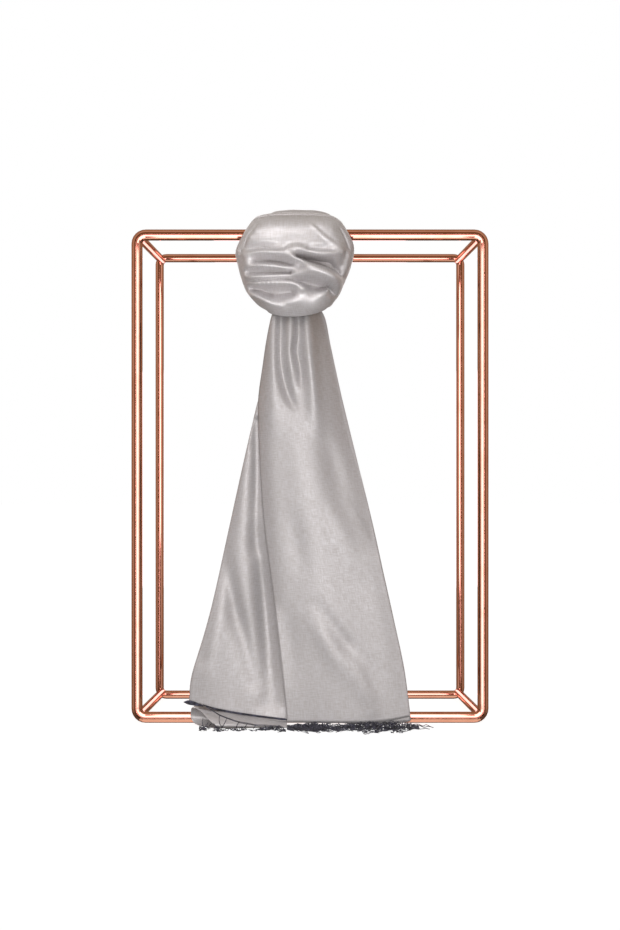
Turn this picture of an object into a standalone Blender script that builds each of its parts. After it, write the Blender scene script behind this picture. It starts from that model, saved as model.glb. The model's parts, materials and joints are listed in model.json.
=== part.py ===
"""Evening stole knotted over the top rail of a tubular display stand.

The stole is one length of satin, 700 x 2000 mm, with a netted fringe at each end. It is folded
lengthwise in three, laid over the front hoop's top rail at its middle, and the two limbs are
closed below the rail by a loose puffed turn of the same cloth. Both ends hang in front of the
stand's bottom rail, and their fringes lie on the floor.

Tables are in millimetres and meshes in metres. +X is the viewer's right, +Y the back, +Z up.
Depths (y) in the tables are counted from the front hoop's plane. The origin is on the floor,
under the middle of everything.
"""
import math
from typing import NamedTuple

import bmesh
import bpy

MM = 0.001
SEAM_GAP = 0.3              # between pieces that meet

# Display stand: two bent hoops of round tube, one behind the other, and four corner rails
STAND_HEIGHT = 789.0
FRONT_HOOP_WIDTH = 571.0
BACK_HOOP_WIDTH = 548.0
HOOP_SPACING = 262.0        # front hoop's plane to back hoop's plane
FRONT_TUBE_R = 8.75
BACK_TUBE_R = 7.25
CORNER_RAIL_R = 7.0
FRONT_BEND_R = 14.0         # bend radius on the tube's centreline
BACK_BEND_R = 12.0
TUBE_SIDES = 24
BEND_STEPS = 6

# Stole
CLOTH = 2.2                 # wall of each cloth solid
FRINGE_REACH = -135.25      # furthest strand, in front of the front hoop's plane
ROW_Y = -(HOOP_SPACING + BACK_TUBE_R + FRINGE_REACH) / 2.0


class Ring(NamedTuple):
    """One level of the knot: extents across and in depth, and its height at each side."""
    left: float
    right: float
    front: float
    back: float
    z_front: float
    z_side: float
    z_back: float
    square: float


class TailRow(NamedTuple):
    """One level of a hanging end: its edges, the depth of its face, and its folded thickness."""
    z: float
    left: float
    right: float
    face: float
    depth: float
    bow: float
    pleat: float


class LayerRun(NamedTuple):
    """One of a hanging end's three layers: where it starts and ends, and what it follows."""
    start: float
    end: float
    level: float
    bow_share: float
    groove_share: float


class CurlPoint(NamedTuple):
    """A point of the curl's section: its depth, height and the cut edge's place across."""
    depth: float
    up: float
    cut_edge: float


class Heap(NamedTuple):
    """A place along a fringe's heap: its rear, its furthest strand and its height."""
    x: float
    rear: float
    front: float
    height: float


class HeapPoint(NamedTuple):
    """A point of the heap's section: share of the way to the front, and share of the height."""
    ahead: float
    up: float


class Pleat(NamedTuple):
    """A pleat that runs down from the knot: place and width across the face, and how deep."""
    at: float
    width: float
    depth: float


class Fold(NamedTuple):
    """A fold across the knot's front, along a curve through three points of its elevation."""
    x0: float
    z0: float
    x1: float
    z1: float
    x2: float
    z2: float
    width: float
    depth: float


# The turn round the knot, from its neck at the bottom to its upper edge
WRAP_RINGS = (
    Ring(-68.0, 26.0, -65.0, -1.0, 647.0, 652.0, 655.0, 4.0),
    Ring(-79.0, 32.0, -77.0, 13.0, 657.0, 661.0, 665.0, 3.2),
    Ring(-97.0, 45.0, -88.0, 31.0, 677.0, 682.0, 683.0, 2.6),
    Ring(-108.0, 57.0, -94.0, 41.0, 704.0, 706.0, 699.0, 2.4),
    Ring(-114.0, 65.0, -96.0, 46.0, 731.0, 728.0, 713.0, 2.5),
    Ring(-117.5, 68.0, -94.0, 47.0, 757.0, 744.0, 725.0, 2.6),
    Ring(-114.0, 69.5, -87.0, 46.0, 780.0, 750.0, 734.0, 2.8),
    Ring(-110.5, 66.0, -70.0, 44.0, 798.0, 752.0, 739.0, 2.8),
    Ring(-107.0, 62.0, -46.0, 42.0, 807.5, 753.0, 742.0, 2.8),
)
EDGE_FALL = 2.9             # how late the upper edge drops from the front towards the sides

# Folds across the front of the turn; a negative depth is a ridge
WRAP_FOLDS = (
    Fold(-100.0, 742.0, -66.0, 745.0, -30.0, 744.0, 9.0, 3.0),
    Fold(-27.0, 738.0, 6.0, 727.0, 42.0, 706.0, 12.0, 9.0),
    Fold(-82.0, 725.0, -54.0, 724.0, -29.0, 721.0, 8.0, 6.0),
    Fold(-96.0, 709.0, -35.0, 704.0, 40.0, 682.0, 7.0, 8.0),
    Fold(-99.0, 690.0, -60.0, 681.0, -17.0, 682.0, 13.0, 9.0),
    Fold(1.0, 781.0, 28.0, 757.0, 58.0, 737.0, 6.0, -2.5),
)
WRAP_COLUMNS_FRONT = 30
WRAP_COLUMNS_BACK = 14
WRAP_ROWS = 20
FOLD_STEPS = 12             # steps in which a fold's curve is searched

# The middle of the stole, over the rail; its hidden layers share this one rounded solid
SADDLE_RINGS = (
    Ring(-52.0, 10.0, -52.0, -14.0, 666.0, 666.0, 666.0, 2.2),
    Ring(-70.0, 24.0, -62.0, 2.0, 675.0, 675.0, 675.0, 2.2),
    Ring(-94.0, 42.0, -70.0, 24.0, 693.0, 693.0, 693.0, 2.3),
    Ring(-103.0, 52.0, -75.0, 36.0, 715.0, 715.0, 715.0, 2.4),
    Ring(-107.0, 58.0, -78.0, 39.0, 735.0, 735.0, 735.0, 2.4),
    Ring(-104.0, 57.0, -80.0, 38.0, 752.0, 752.0, 752.0, 2.4),
    Ring(-97.0, 53.0, -75.0, 36.0, 770.0, 770.0, 770.0, 2.4),
    Ring(-91.0, 50.0, -54.0, 33.0, 785.0, 785.0, 785.0, 2.4),
    Ring(-84.0, 45.0, -37.0, 28.0, 797.0, 797.0, 797.0, 2.4),
    Ring(-77.0, 39.0, -29.0, 22.0, 806.0, 806.0, 806.0, 2.3),
    Ring(-63.0, 25.0, -23.0, 15.0, 814.0, 814.0, 814.0, 2.2),
    Ring(-42.0, 8.0, -16.0, 8.0, 819.0, 819.0, 819.0, 2.2),
)
SADDLE_COLUMNS = 28
SADDLE_ROWS = 15
RAIL_CLEARANCE = 0.45

# The hanging ends, from inside the neck to the hem
FRONT_TAIL_ROWS = (
    TailRow(664.0, -56.0, 13.0, -50.0, 16.0, 5.0, 1.0),
    TailRow(643.0, -65.0, 24.0, -51.0, 17.0, 7.0, 1.0),
    TailRow(605.0, -73.0, 31.5, -52.0, 17.0, 7.0, 1.0),
    TailRow(567.0, -78.5, 39.5, -51.0, 16.0, 6.0, 0.8),
    TailRow(530.0, -83.5, 47.5, -50.0, 14.0, 5.0, 0.6),
    TailRow(498.0, -85.0, 55.0, -49.0, 13.0, 5.0, 0.5),
    TailRow(420.0, -82.0, 74.0, -48.0, 11.0, 4.0, 0.3),
    TailRow(326.0, -75.7, 97.0, -47.0, 10.0, 4.0, 0.2),
    TailRow(247.0, -65.5, 114.3, -47.0, 10.0, 3.0, 0.1),
    TailRow(169.0, -55.3, 131.6, -47.0, 9.0, 3.0, 0.1),
    TailRow(90.0, -46.6, 148.0, -47.0, 9.0, 3.0, 0.1),
    TailRow(8.0, -38.0, 158.3, -47.0, 9.0, 3.0, 0.1),
)
FRONT_TAIL_PLEATS = (
    Pleat(0.36, 0.07, 5.0),
    Pleat(0.56, 0.05, 4.0),
    Pleat(0.86, 0.10, 4.0),
)
FRONT_HEM_RISE = (0.0, 0.0, 0.0, 0.0, 2.0, 9.0)
BACK_TAIL_ROWS = (
    TailRow(664.0, -52.0, 8.0, -27.0, 12.0, 2.0, 1.0),
    TailRow(643.0, -60.0, 17.0, -27.5, 12.0, 2.0, 1.0),
    TailRow(605.0, -66.0, 22.0, -28.0, 12.0, 2.0, 0.8),
    TailRow(567.0, -71.0, 25.0, -29.0, 12.0, 2.0, 0.6),
    TailRow(530.0, -78.0, 27.0, -30.0, 12.0, 2.0, 0.5),
    TailRow(493.0, -87.3, 28.0, -31.0, 11.0, 2.0, 0.4),
    TailRow(417.0, -104.7, 29.0, -31.5, 10.0, 2.0, 0.3),
    TailRow(303.0, -130.0, 30.0, -31.5, 9.0, 2.0, 0.2),
    TailRow(189.0, -155.3, 30.0, -31.5, 9.0, 2.0, 0.1),
    TailRow(75.0, -185.3, 29.0, -31.5, 9.0, 2.0, 0.1),
    TailRow(8.0, -191.0, 28.0, -31.5, 9.0, 2.0, 0.1),
)
BACK_TAIL_PLEATS = (
    Pleat(0.30, 0.08, 3.0),
    Pleat(0.70, 0.08, 3.0),
)
BACK_HEM_RISE = (36.0, 18.5, 10.5, 4.0, 0.0, 0.0)
HEM_REACH = 150.0           # height over which a hem's rise fades out
LAYER_COLUMNS = 9
FOLD_COLUMNS = 3
TAIL_ROWS = 13
INNER_LAYER_INSET = 4.0     # the hidden fold stops short of the face's free edge

# The longest layer of the back end: it comes down behind the others, runs forward below their
# hem and curls under itself on the floor. Its section at the open left end, front to back
CURL_SECTION = (
    CurlPoint(-14.0, 46.0, -180.0),
    CurlPoint(-20.0, 33.0, -178.0),
    CurlPoint(-26.0, 25.0, -177.0),
    CurlPoint(-42.0, 28.0, -174.0),
    CurlPoint(-56.0, 26.5, -166.0),
    CurlPoint(-66.0, 17.0, -150.0),
    CurlPoint(-69.0, 7.0, -137.0),
    CurlPoint(-62.0, 1.4, -139.0),
    CurlPoint(-49.0, 1.4, -158.0),
    CurlPoint(-38.0, 5.0, -176.0),
    CurlPoint(-33.0, 12.0, -184.0),
    CurlPoint(-36.0, 19.0, -183.0),
)
CURL_RIGHT = -36.0          # where it ends behind the front end's edge
CURL_HEIGHTS = (1.0, 0.78, 0.56, 0.34, 0.13)
CURL_NARROWING = 0.25       # share of its depth lost towards the right
CURL_UNROLLS = 0.42         # share of its section lost towards the right
CURL_STATIONS = 10
CURL_COLUMNS = 20

# The netted fringe, as the low heap that it makes on the floor, and the heap's section
FRONT_FRINGE = (
    Heap(-30.0, -54.0, -92.0, 5.0),
    Heap(0.0, -54.0, -104.0, 8.0),
    Heap(30.0, -54.0, FRINGE_REACH, 9.0),
    Heap(70.0, -54.0, -118.0, 9.0),
    Heap(110.0, -54.0, -112.0, 9.0),
    Heap(145.0, -54.0, -104.0, 8.0),
    Heap(175.0, -54.0, -84.0, 4.0),
)
BACK_FRINGE = (
    Heap(-172.0, -74.0, -94.0, 4.0),
    Heap(-150.0, -74.0, -108.0, 6.0),
    Heap(-110.0, -70.0, -98.0, 6.0),
    Heap(-70.0, -66.0, -92.0, 5.0),
    Heap(-32.0, -62.0, -94.0, 5.0),
)
HEAP_SECTION = (
    HeapPoint(0.0, 0.0),
    HeapPoint(0.0, 0.8),
    HeapPoint(0.18, 1.0),
    HeapPoint(0.6, 0.6),
    HeapPoint(0.95, 0.25),
    HeapPoint(1.0, 0.0),
)

SATIN = ((0.56, 0.54, 0.545), 0.34, 0.0)
YARN = ((0.05, 0.052, 0.085), 0.7, 0.0)
COPPER = ((0.72, 0.35, 0.22), 0.16, 1.0)


def clear_scene():
    """Remove whatever the file opens with."""
    for item in list(bpy.data.objects):
        bpy.data.objects.remove(item, do_unlink=True)


def principled(name, finish):
    """Make a Principled material from a (colour, roughness, metallic) finish."""
    colour, roughness, metallic = finish
    material = bpy.data.materials.new(name)
    material.use_nodes = True
    shader = material.node_tree.nodes["Principled BSDF"]
    shader.inputs["Base Color"].default_value = (*colour, 1.0)
    shader.inputs["Roughness"].default_value = roughness
    shader.inputs["Metallic"].default_value = metallic
    material.diffuse_color = (*colour, 1.0)
    return material


def add_object(name, shape, finish):
    """Link a finished bmesh as a named object, standing at the stand's front plane."""
    bmesh.ops.recalc_face_normals(shape, faces=shape.faces)
    mesh = bpy.data.meshes.new(name)
    shape.to_mesh(mesh)
    shape.free()
    mesh.shade_smooth()
    mesh.materials.append(principled(name, finish))
    item = bpy.data.objects.new(name, mesh)
    item.location = (0.0, ROW_Y * MM, 0.0)
    bpy.context.scene.collection.objects.link(item)
    return item


def spline(values, t):
    """Read a smooth curve through evenly spaced values at t from 0 to 1."""
    last = len(values) - 1
    place = min(max(t, 0.0), 1.0) * last
    i = min(int(place), last - 1)
    f = place - i
    p1, p2 = values[i], values[i + 1]
    m1 = (p2 - values[i - 1]) / 2.0 if i > 0 else p2 - p1
    m2 = (values[i + 2] - p1) / 2.0 if i + 2 <= last else p2 - p1
    a = 2.0 * f ** 3 - 3.0 * f ** 2 + 1.0
    b = f ** 3 - 2.0 * f ** 2 + f
    c = 3.0 * f ** 2 - 2.0 * f ** 3
    d = f ** 3 - f ** 2
    return a * p1 + b * m1 + c * p2 + d * m2


def row_at(table, t):
    """Interpolate every column of a table at t from 0 to 1."""
    return type(table[0])(*(spline(column, t) for column in zip(*table)))


def grid_faces(shape, rows, around):
    """Join rows of vertices with quads; around closes each row on itself."""
    for lower, upper in zip(rows, rows[1:]):
        columns = len(lower)
        for i in range(columns if around else columns - 1):
            j = (i + 1) % columns
            shape.faces.new((lower[i], lower[j], upper[j], upper[i]))


def grid_mesh(points, around=False):
    """Build a bmesh from rows of millimetre points."""
    shape = bmesh.new()
    rows = [[shape.verts.new([c * MM for c in p]) for p in row] for row in points]
    grid_faces(shape, rows, around)
    return shape, rows


def cloth_object(name, points, around=False):
    """Make a cloth solid from its mid-surface, with a Solidify wall."""
    shape, _ = grid_mesh(points, around)
    item = add_object(name, shape, SATIN)
    wall = item.modifiers.new("cloth_wall", "SOLIDIFY")
    wall.thickness = CLOTH * MM
    wall.offset = 0.0
    wall.use_even_offset = False
    return item


def capped_object(name, points, finish):
    """Make a closed solid from stacked closed rings, capped at both ends."""
    shape, rows = grid_mesh(points, around=True)
    shape.faces.new(rows[0])
    shape.faces.new(rows[-1])
    return add_object(name, shape, finish)


def power(value, square):
    """Signed power that turns a circle's sine or cosine into a squarer oval's."""
    return math.copysign(abs(value) ** (2.0 / square), value)


def ring_point(ring, turn):
    """Place a point on a ring; turn 0 is the front, 0.25 the right, 0.5 the back."""
    angle = 2.0 * math.pi * turn
    side, ahead = math.sin(angle), math.cos(angle)
    x = (ring.left + ring.right) / 2.0 + (ring.right - ring.left) / 2.0 * power(side, ring.square)
    y = (ring.front + ring.back) / 2.0 - (ring.back - ring.front) / 2.0 * power(ahead, ring.square)
    from_front = math.acos(max(-1.0, min(1.0, ahead))) / (math.pi / 2.0)
    if from_front <= 1.0:
        z = ring.z_front + (ring.z_side - ring.z_front) * from_front ** EDGE_FALL
    else:
        z = ring.z_back + (ring.z_side - ring.z_back) * (2.0 - from_front) ** 2.0
    return x, y, z


def fold_depth(x, z, fold):
    """How far a fold pushes the cloth back at a place on the knot's front."""
    nearest = None
    for step in range(FOLD_STEPS + 1):
        t = step / FOLD_STEPS
        a, b, c = (1.0 - t) ** 2, 2.0 * t * (1.0 - t), t ** 2
        bend_x = 2.0 * fold.x1 - (fold.x0 + fold.x2) / 2.0
        bend_z = 2.0 * fold.z1 - (fold.z0 + fold.z2) / 2.0
        px = a * fold.x0 + b * bend_x + c * fold.x2
        pz = a * fold.z0 + b * bend_z + c * fold.z2
        gap = math.hypot(x - px, z - pz)
        nearest = gap if nearest is None else min(nearest, gap)
    return fold.depth * math.exp(-(nearest / fold.width) ** 2)


def make_wrap():
    """The puffed turn that closes the knot below the rail."""
    turns = [(i / WRAP_COLUMNS_FRONT - 0.5) * 0.5 for i in range(WRAP_COLUMNS_FRONT)]
    turns += [0.25 + 0.5 * i / WRAP_COLUMNS_BACK for i in range(WRAP_COLUMNS_BACK)]
    rows = []
    for r in range(WRAP_ROWS):
        ring = row_at(WRAP_RINGS, r / (WRAP_ROWS - 1))
        row = []
        for turn in turns:
            x, y, z = ring_point(ring, turn)
            facing = max(0.0, math.cos(2.0 * math.pi * turn)) ** 0.5
            y += facing * sum(fold_depth(x, z, fold) for fold in WRAP_FOLDS)
            row.append((x, y, z))
        rows.append(row)
    return cloth_object("knot_wrap", rows, around=True)


def make_saddle():
    """The middle of the stole over the rail, bored for the rail with a small clearance."""
    rows = []
    for r in range(SADDLE_ROWS):
        ring = row_at(SADDLE_RINGS, r / (SADDLE_ROWS - 1))
        rows.append([ring_point(ring, i / SADDLE_COLUMNS) for i in range(SADDLE_COLUMNS)])
    saddle = capped_object("knot_saddle", rows, SATIN)
    bpy.ops.mesh.primitive_cylinder_add(
        vertices=TUBE_SIDES,
        radius=(FRONT_TUBE_R + RAIL_CLEARANCE) / math.cos(math.pi / TUBE_SIDES) * MM,
        depth=FRONT_HOOP_WIDTH * MM,
        location=(0.0, ROW_Y * MM, (STAND_HEIGHT - FRONT_TUBE_R) * MM),
        rotation=(0.0, math.pi / 2.0, 0.0),
    )
    cutter = bpy.context.object
    cutter.name = "rail_path"
    cut_away(saddle, cutter)


def cut_away(item, cutter):
    """Subtract a hidden cutter from an object."""
    cutter.hide_render = True
    cutter.display_type = "WIRE"
    cut = item.modifiers.new("cut_" + cutter.name, "BOOLEAN")
    cut.operation = "DIFFERENCE"
    cut.solver = "EXACT"
    cut.object = cutter


def tail_section(row, pleats, mirrored):
    """Plan of a hanging end at one level: three layers joined by two folds.

    The face runs to its fold at one side, the hidden layer comes back, and the rear layer
    runs out again. Points are (place across the face, x, y).
    """
    spacing = row.depth / 2.0
    span = row.right - row.left
    inset = INNER_LAYER_INSET / span
    layers = (
        LayerRun(start=0.0, end=1.0, level=0.0, bow_share=1.0, groove_share=1.0),
        LayerRun(start=1.0, end=inset, level=1.0, bow_share=0.6, groove_share=0.5),
        LayerRun(start=inset, end=1.0 - inset, level=2.0, bow_share=0.3, groove_share=0.0),
    )
    points = []
    inner_span = span - spacing
    for layer in layers:
        for i in range(LAYER_COLUMNS):
            u = layer.start + (layer.end - layer.start) * i / (LAYER_COLUMNS - 1)
            crown = 1.0 - (2.0 * u - 1.0) ** 2
            y = row.face + layer.level * spacing - row.bow * layer.bow_share * crown
            groove = sum(p.depth * math.exp(-((u - p.at) / p.width) ** 2) for p in pleats)
            y += groove * row.pleat * layer.groove_share
            points.append((u, y))
        if layer is not layers[-1]:
            u_fold = layer.end
            outward = 1.0 if u_fold > 0.5 else -1.0
            y_fold = row.face + (layer.level + 0.5) * spacing
            for k in range(1, FOLD_COLUMNS + 1):
                angle = math.pi * k / (FOLD_COLUMNS + 1) - math.pi / 2.0
                reach = outward * math.cos(angle) * spacing / 2.0 / inner_span
                points.append((u_fold + reach, y_fold + math.sin(angle) * spacing / 2.0))
    if mirrored:
        points = [(1.0 - u, y) for u, y in points]
    return [(u, row.left + spacing / 2.0 + u * inner_span, y) for u, y in points]


def make_tail(name, table, pleats, hem_rise, mirrored):
    """A hanging end: folded in three, closed up under the knot and fanned out to its hem."""
    rows = []
    top, hem = table[0].z, table[-1].z
    for r in range(TAIL_ROWS):
        row = row_at(table, r / (TAIL_ROWS - 1))
        near_hem = max(0.0, 1.0 - (row.z - hem) / HEM_REACH) ** 2
        section = tail_section(row, pleats, mirrored)
        rows.append([(x, y, min(top, row.z + near_hem * spline(hem_rise, u))) for u, x, y in section])
    return cloth_object(name, rows)


def make_curl():
    """The longest layer's end, which meets the floor and curls forward and under itself."""
    columns = list(zip(*CURL_SECTION))
    lift = CLOTH / 2.0 + SEAM_GAP
    back = CURL_SECTION[0][0]
    rows = []
    for s in range(CURL_STATIONS):
        along = s / (CURL_STATIONS - 1)
        height = spline(CURL_HEIGHTS, along)
        row = []
        for c in range(CURL_COLUMNS):
            t = c / (CURL_COLUMNS - 1) * (1.0 - CURL_UNROLLS * along)
            depth, up, left = (spline(column, t) for column in columns)
            x = left + (CURL_RIGHT - left) * along
            y = back + (depth - back) * (1.0 - CURL_NARROWING * along)
            row.append((x, y, lift + max(0.0, up - lift) * height))
        rows.append(row)
    return cloth_object("under_layer", rows)


def make_fringe(name, table):
    """A fringe's reach, as a low heap on the floor, highest where it leaves the hem."""
    sections = []
    for place in table:
        run = place.rear - place.front
        sections.append([
            (place.x, place.rear - run * point.ahead, place.height * point.up)
            for point in HEAP_SECTION])
    return capped_object(name, sections, YARN)


def hoop_mesh(width, tube_r, bend_r, grow):
    """A round tube bent to an upright rounded rectangle that stands on the floor."""
    half = width / 2.0 - tube_r - bend_r
    low = tube_r + bend_r
    high = STAND_HEIGHT - tube_r - bend_r
    corners = ((half, high, 0.0), (-half, high, 0.5), (-half, low, 1.0), (half, low, 1.5))
    sections = []
    for cx, cz, start in corners:
        for step in range(BEND_STEPS + 1):
            angle = math.pi * (start + 0.5 * step / BEND_STEPS)
            outward = (math.cos(angle), math.sin(angle))
            section = []
            for side in range(TUBE_SIDES):
                turn = 2.0 * math.pi * (side + 0.5) / TUBE_SIDES
                rim = (tube_r + grow) / math.cos(math.pi / TUBE_SIDES)
                reach = bend_r + rim * math.cos(turn)
                section.append((cx + reach * outward[0], rim * math.sin(turn), cz + reach * outward[1]))
            sections.append(section)
    shape = bmesh.new()
    rows = [[shape.verts.new([c * MM for c in p]) for p in row] for row in sections]
    grid_faces(shape, rows + [rows[0]], around=True)
    return shape


def make_hoop(name, y, width, tube_r, bend_r, grow=0.0):
    """A finished hoop, set at its own depth; grow fattens the tube for a cutter."""
    item = add_object(name, hoop_mesh(width, tube_r, bend_r, grow), COPPER)
    item.location.y += y * MM
    return item


def make_corner_rails():
    """The four rails between the hoops' bends, coped to the tubes that they meet."""
    front_cut = make_hoop("front_cope", 0.0, FRONT_HOOP_WIDTH, FRONT_TUBE_R, FRONT_BEND_R, SEAM_GAP)
    back_cut = make_hoop("back_cope", HOOP_SPACING, BACK_HOOP_WIDTH, BACK_TUBE_R, BACK_BEND_R, SEAM_GAP)
    front_x, front_z = bend_middle(FRONT_HOOP_WIDTH, FRONT_TUBE_R, FRONT_BEND_R)
    back_x, back_z = bend_middle(BACK_HOOP_WIDTH, BACK_TUBE_R, BACK_BEND_R)
    middle_z = STAND_HEIGHT / 2.0
    for side_name, side in (("left", -1.0), ("right", 1.0)):
        for level_name, level in (("bottom", -1.0), ("top", 1.0)):
            start = (side * front_x, 0.0, middle_z + level * front_z)
            end = (side * back_x, HOOP_SPACING, middle_z + level * back_z)
            points = []
            for x, y, z in (start, end):
                ring = []
                for k in range(TUBE_SIDES):
                    turn = 2.0 * math.pi * (k + 0.5) / TUBE_SIDES
                    rim = CORNER_RAIL_R / math.cos(math.pi / TUBE_SIDES)
                    ring.append((x + rim * math.cos(turn), y, z + rim * math.sin(turn)))
                points.append(ring)
            rail = capped_object(f"rail_{level_name}_{side_name}", points, COPPER)
            cut_away(rail, front_cut)
            cut_away(rail, back_cut)


def bend_middle(width, tube_r, bend_r):
    """Half-width and half-height of a hoop's centreline at the middle of a bend."""
    straight = 1.0 - math.cos(math.pi / 4.0)
    return (width / 2.0 - tube_r - bend_r * straight,
            STAND_HEIGHT / 2.0 - tube_r - bend_r * straight)


def main():
    """Build the stand, then the stole from the knot down."""
    clear_scene()
    make_hoop("front_hoop", 0.0, FRONT_HOOP_WIDTH, FRONT_TUBE_R, FRONT_BEND_R)
    make_hoop("back_hoop", HOOP_SPACING, BACK_HOOP_WIDTH, BACK_TUBE_R, BACK_BEND_R)
    make_corner_rails()
    make_saddle()
    make_wrap()
    make_tail("front_tail", FRONT_TAIL_ROWS, FRONT_TAIL_PLEATS, FRONT_HEM_RISE, mirrored=False)
    make_tail("back_tail", BACK_TAIL_ROWS, BACK_TAIL_PLEATS, BACK_HEM_RISE, mirrored=True)
    make_curl()
    make_fringe("front_fringe", FRONT_FRINGE)
    make_fringe("back_fringe", BACK_FRINGE)


main()
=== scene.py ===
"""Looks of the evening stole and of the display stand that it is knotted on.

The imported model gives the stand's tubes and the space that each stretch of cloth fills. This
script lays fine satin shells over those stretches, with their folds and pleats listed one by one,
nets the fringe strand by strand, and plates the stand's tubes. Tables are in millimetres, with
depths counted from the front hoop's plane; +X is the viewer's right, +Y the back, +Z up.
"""
import json
import logging
import math
from dataclasses import astuple, dataclass, field
from enum import Enum

import bpy
import numpy as np
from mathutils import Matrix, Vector

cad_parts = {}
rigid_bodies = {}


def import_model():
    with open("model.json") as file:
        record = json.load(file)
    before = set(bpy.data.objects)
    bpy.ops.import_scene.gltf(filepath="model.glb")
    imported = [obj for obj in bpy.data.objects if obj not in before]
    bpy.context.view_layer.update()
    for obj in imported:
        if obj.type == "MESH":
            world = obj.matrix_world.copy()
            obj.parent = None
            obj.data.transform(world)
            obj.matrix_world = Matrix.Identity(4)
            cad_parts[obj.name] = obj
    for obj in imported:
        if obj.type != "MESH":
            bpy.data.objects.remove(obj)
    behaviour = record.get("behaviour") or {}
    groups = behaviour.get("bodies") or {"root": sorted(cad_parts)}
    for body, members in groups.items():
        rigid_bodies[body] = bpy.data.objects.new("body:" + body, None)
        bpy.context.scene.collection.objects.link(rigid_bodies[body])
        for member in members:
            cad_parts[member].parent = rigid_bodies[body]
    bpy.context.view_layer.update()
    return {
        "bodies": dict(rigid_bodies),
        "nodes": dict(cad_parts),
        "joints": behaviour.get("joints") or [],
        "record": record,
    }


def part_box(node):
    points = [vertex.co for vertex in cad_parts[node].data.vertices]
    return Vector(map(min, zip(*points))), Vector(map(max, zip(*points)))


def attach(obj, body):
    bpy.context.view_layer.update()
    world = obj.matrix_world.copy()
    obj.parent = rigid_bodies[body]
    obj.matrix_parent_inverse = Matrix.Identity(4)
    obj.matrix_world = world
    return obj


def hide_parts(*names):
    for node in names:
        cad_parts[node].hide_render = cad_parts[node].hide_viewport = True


MM = 0.001
BODY = "root"
LOG = logging.getLogger("evening_stole")

STOLE_WIDTH_MM = 700.0      # the whole cut's width
FOLDED_IN = 3               # layers of a hanging end

Array = np.ndarray


class Slot(Enum):
    """Names of the record's material slots for the soft pieces; nothing in the script uses them."""

    SATIN = "satin"
    YARN = "fringe_yarn"


# ---------------------------------------------------------------------------------------------
# Small tools
# ---------------------------------------------------------------------------------------------

def linear(hex_colour: str) -> tuple[float, float, float, float]:
    """Turn an sRGB hex colour into a linear RGBA one.

    Args:
        hex_colour: six hex digits, such as "C8C4C5".

    Returns:
        The linear colour with alpha 1.
    """
    channels = [int(hex_colour[i:i + 2], 16) / 255.0 for i in (0, 2, 4)]
    bent = [c / 12.92 if c <= 0.04045 else ((c + 0.055) / 1.055) ** 2.4 for c in channels]
    return (bent[0], bent[1], bent[2], 1.0)


def add_node(
    tree: bpy.types.NodeTree,
    kind: str,
    settings: dict[str, object] | None = None,
    values: dict[str | int, object] | None = None,
    links: dict[str | int, bpy.types.NodeSocket] | None = None,
) -> bpy.types.Node:
    """Add a node with its settings, socket values and incoming links.

    Args:
        tree: node tree to add to.
        kind: the node's type name.
        settings: attributes of the node itself.
        values: default values of its input sockets.
        links: output sockets that feed its input sockets.

    Returns:
        The new node.
    """
    node = tree.nodes.new(kind)
    for name, value in (settings or {}).items():
        setattr(node, name, value)
    for name, value in (values or {}).items():
        node.inputs[name].default_value = value
    for name, socket in (links or {}).items():
        tree.links.new(socket, node.inputs[name])
    return node


def read_curve(table: Array, places: Array) -> Array:
    """Read smooth curves through evenly spaced rows of a table.

    Args:
        table: rows of values, one column for each curve.
        places: where to read, from 0 at the first row to 1 at the last.

    Returns:
        One row of values for each place.
    """
    rows = np.asarray(table, dtype=float)
    if rows.ndim == 1:
        rows = rows[:, None]
    last = len(rows) - 1
    spot = np.clip(places, 0.0, 1.0) * last
    i = np.minimum(spot.astype(int), last - 1)
    f = (spot - i)[:, None]
    slopes = np.gradient(rows, axis=0)
    a = 2.0 * f ** 3 - 3.0 * f ** 2 + 1.0
    b = f ** 3 - 2.0 * f ** 2 + f
    c = 3.0 * f ** 2 - 2.0 * f ** 3
    d = f ** 3 - f ** 2
    return a * rows[i] + b * slopes[i] + c * rows[i + 1] + d * slopes[i + 1]


def fade(value: Array, start: float, end: float) -> Array:
    """Step smoothly from 0 at start to 1 at end."""
    t = np.clip((value - start) / (end - start), 0.0, 1.0)
    return t * t * (3.0 - 2.0 * t)


def surface_normals(points: Array, around: bool) -> Array:
    """Find the unit normals of a grid of points.

    Args:
        points: rows by columns by xyz.
        around: whether each row closes on itself.

    Returns:
        Normals of the same shape, by the right-hand rule of column then row.
    """
    if around:
        across = np.roll(points, -1, axis=1) - np.roll(points, 1, axis=1)
    else:
        across = np.gradient(points, axis=1)
    along = np.gradient(points, axis=0)
    normals = np.cross(across, along)
    return normals / np.maximum(np.linalg.norm(normals, axis=2, keepdims=True), 1e-9)


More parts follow.
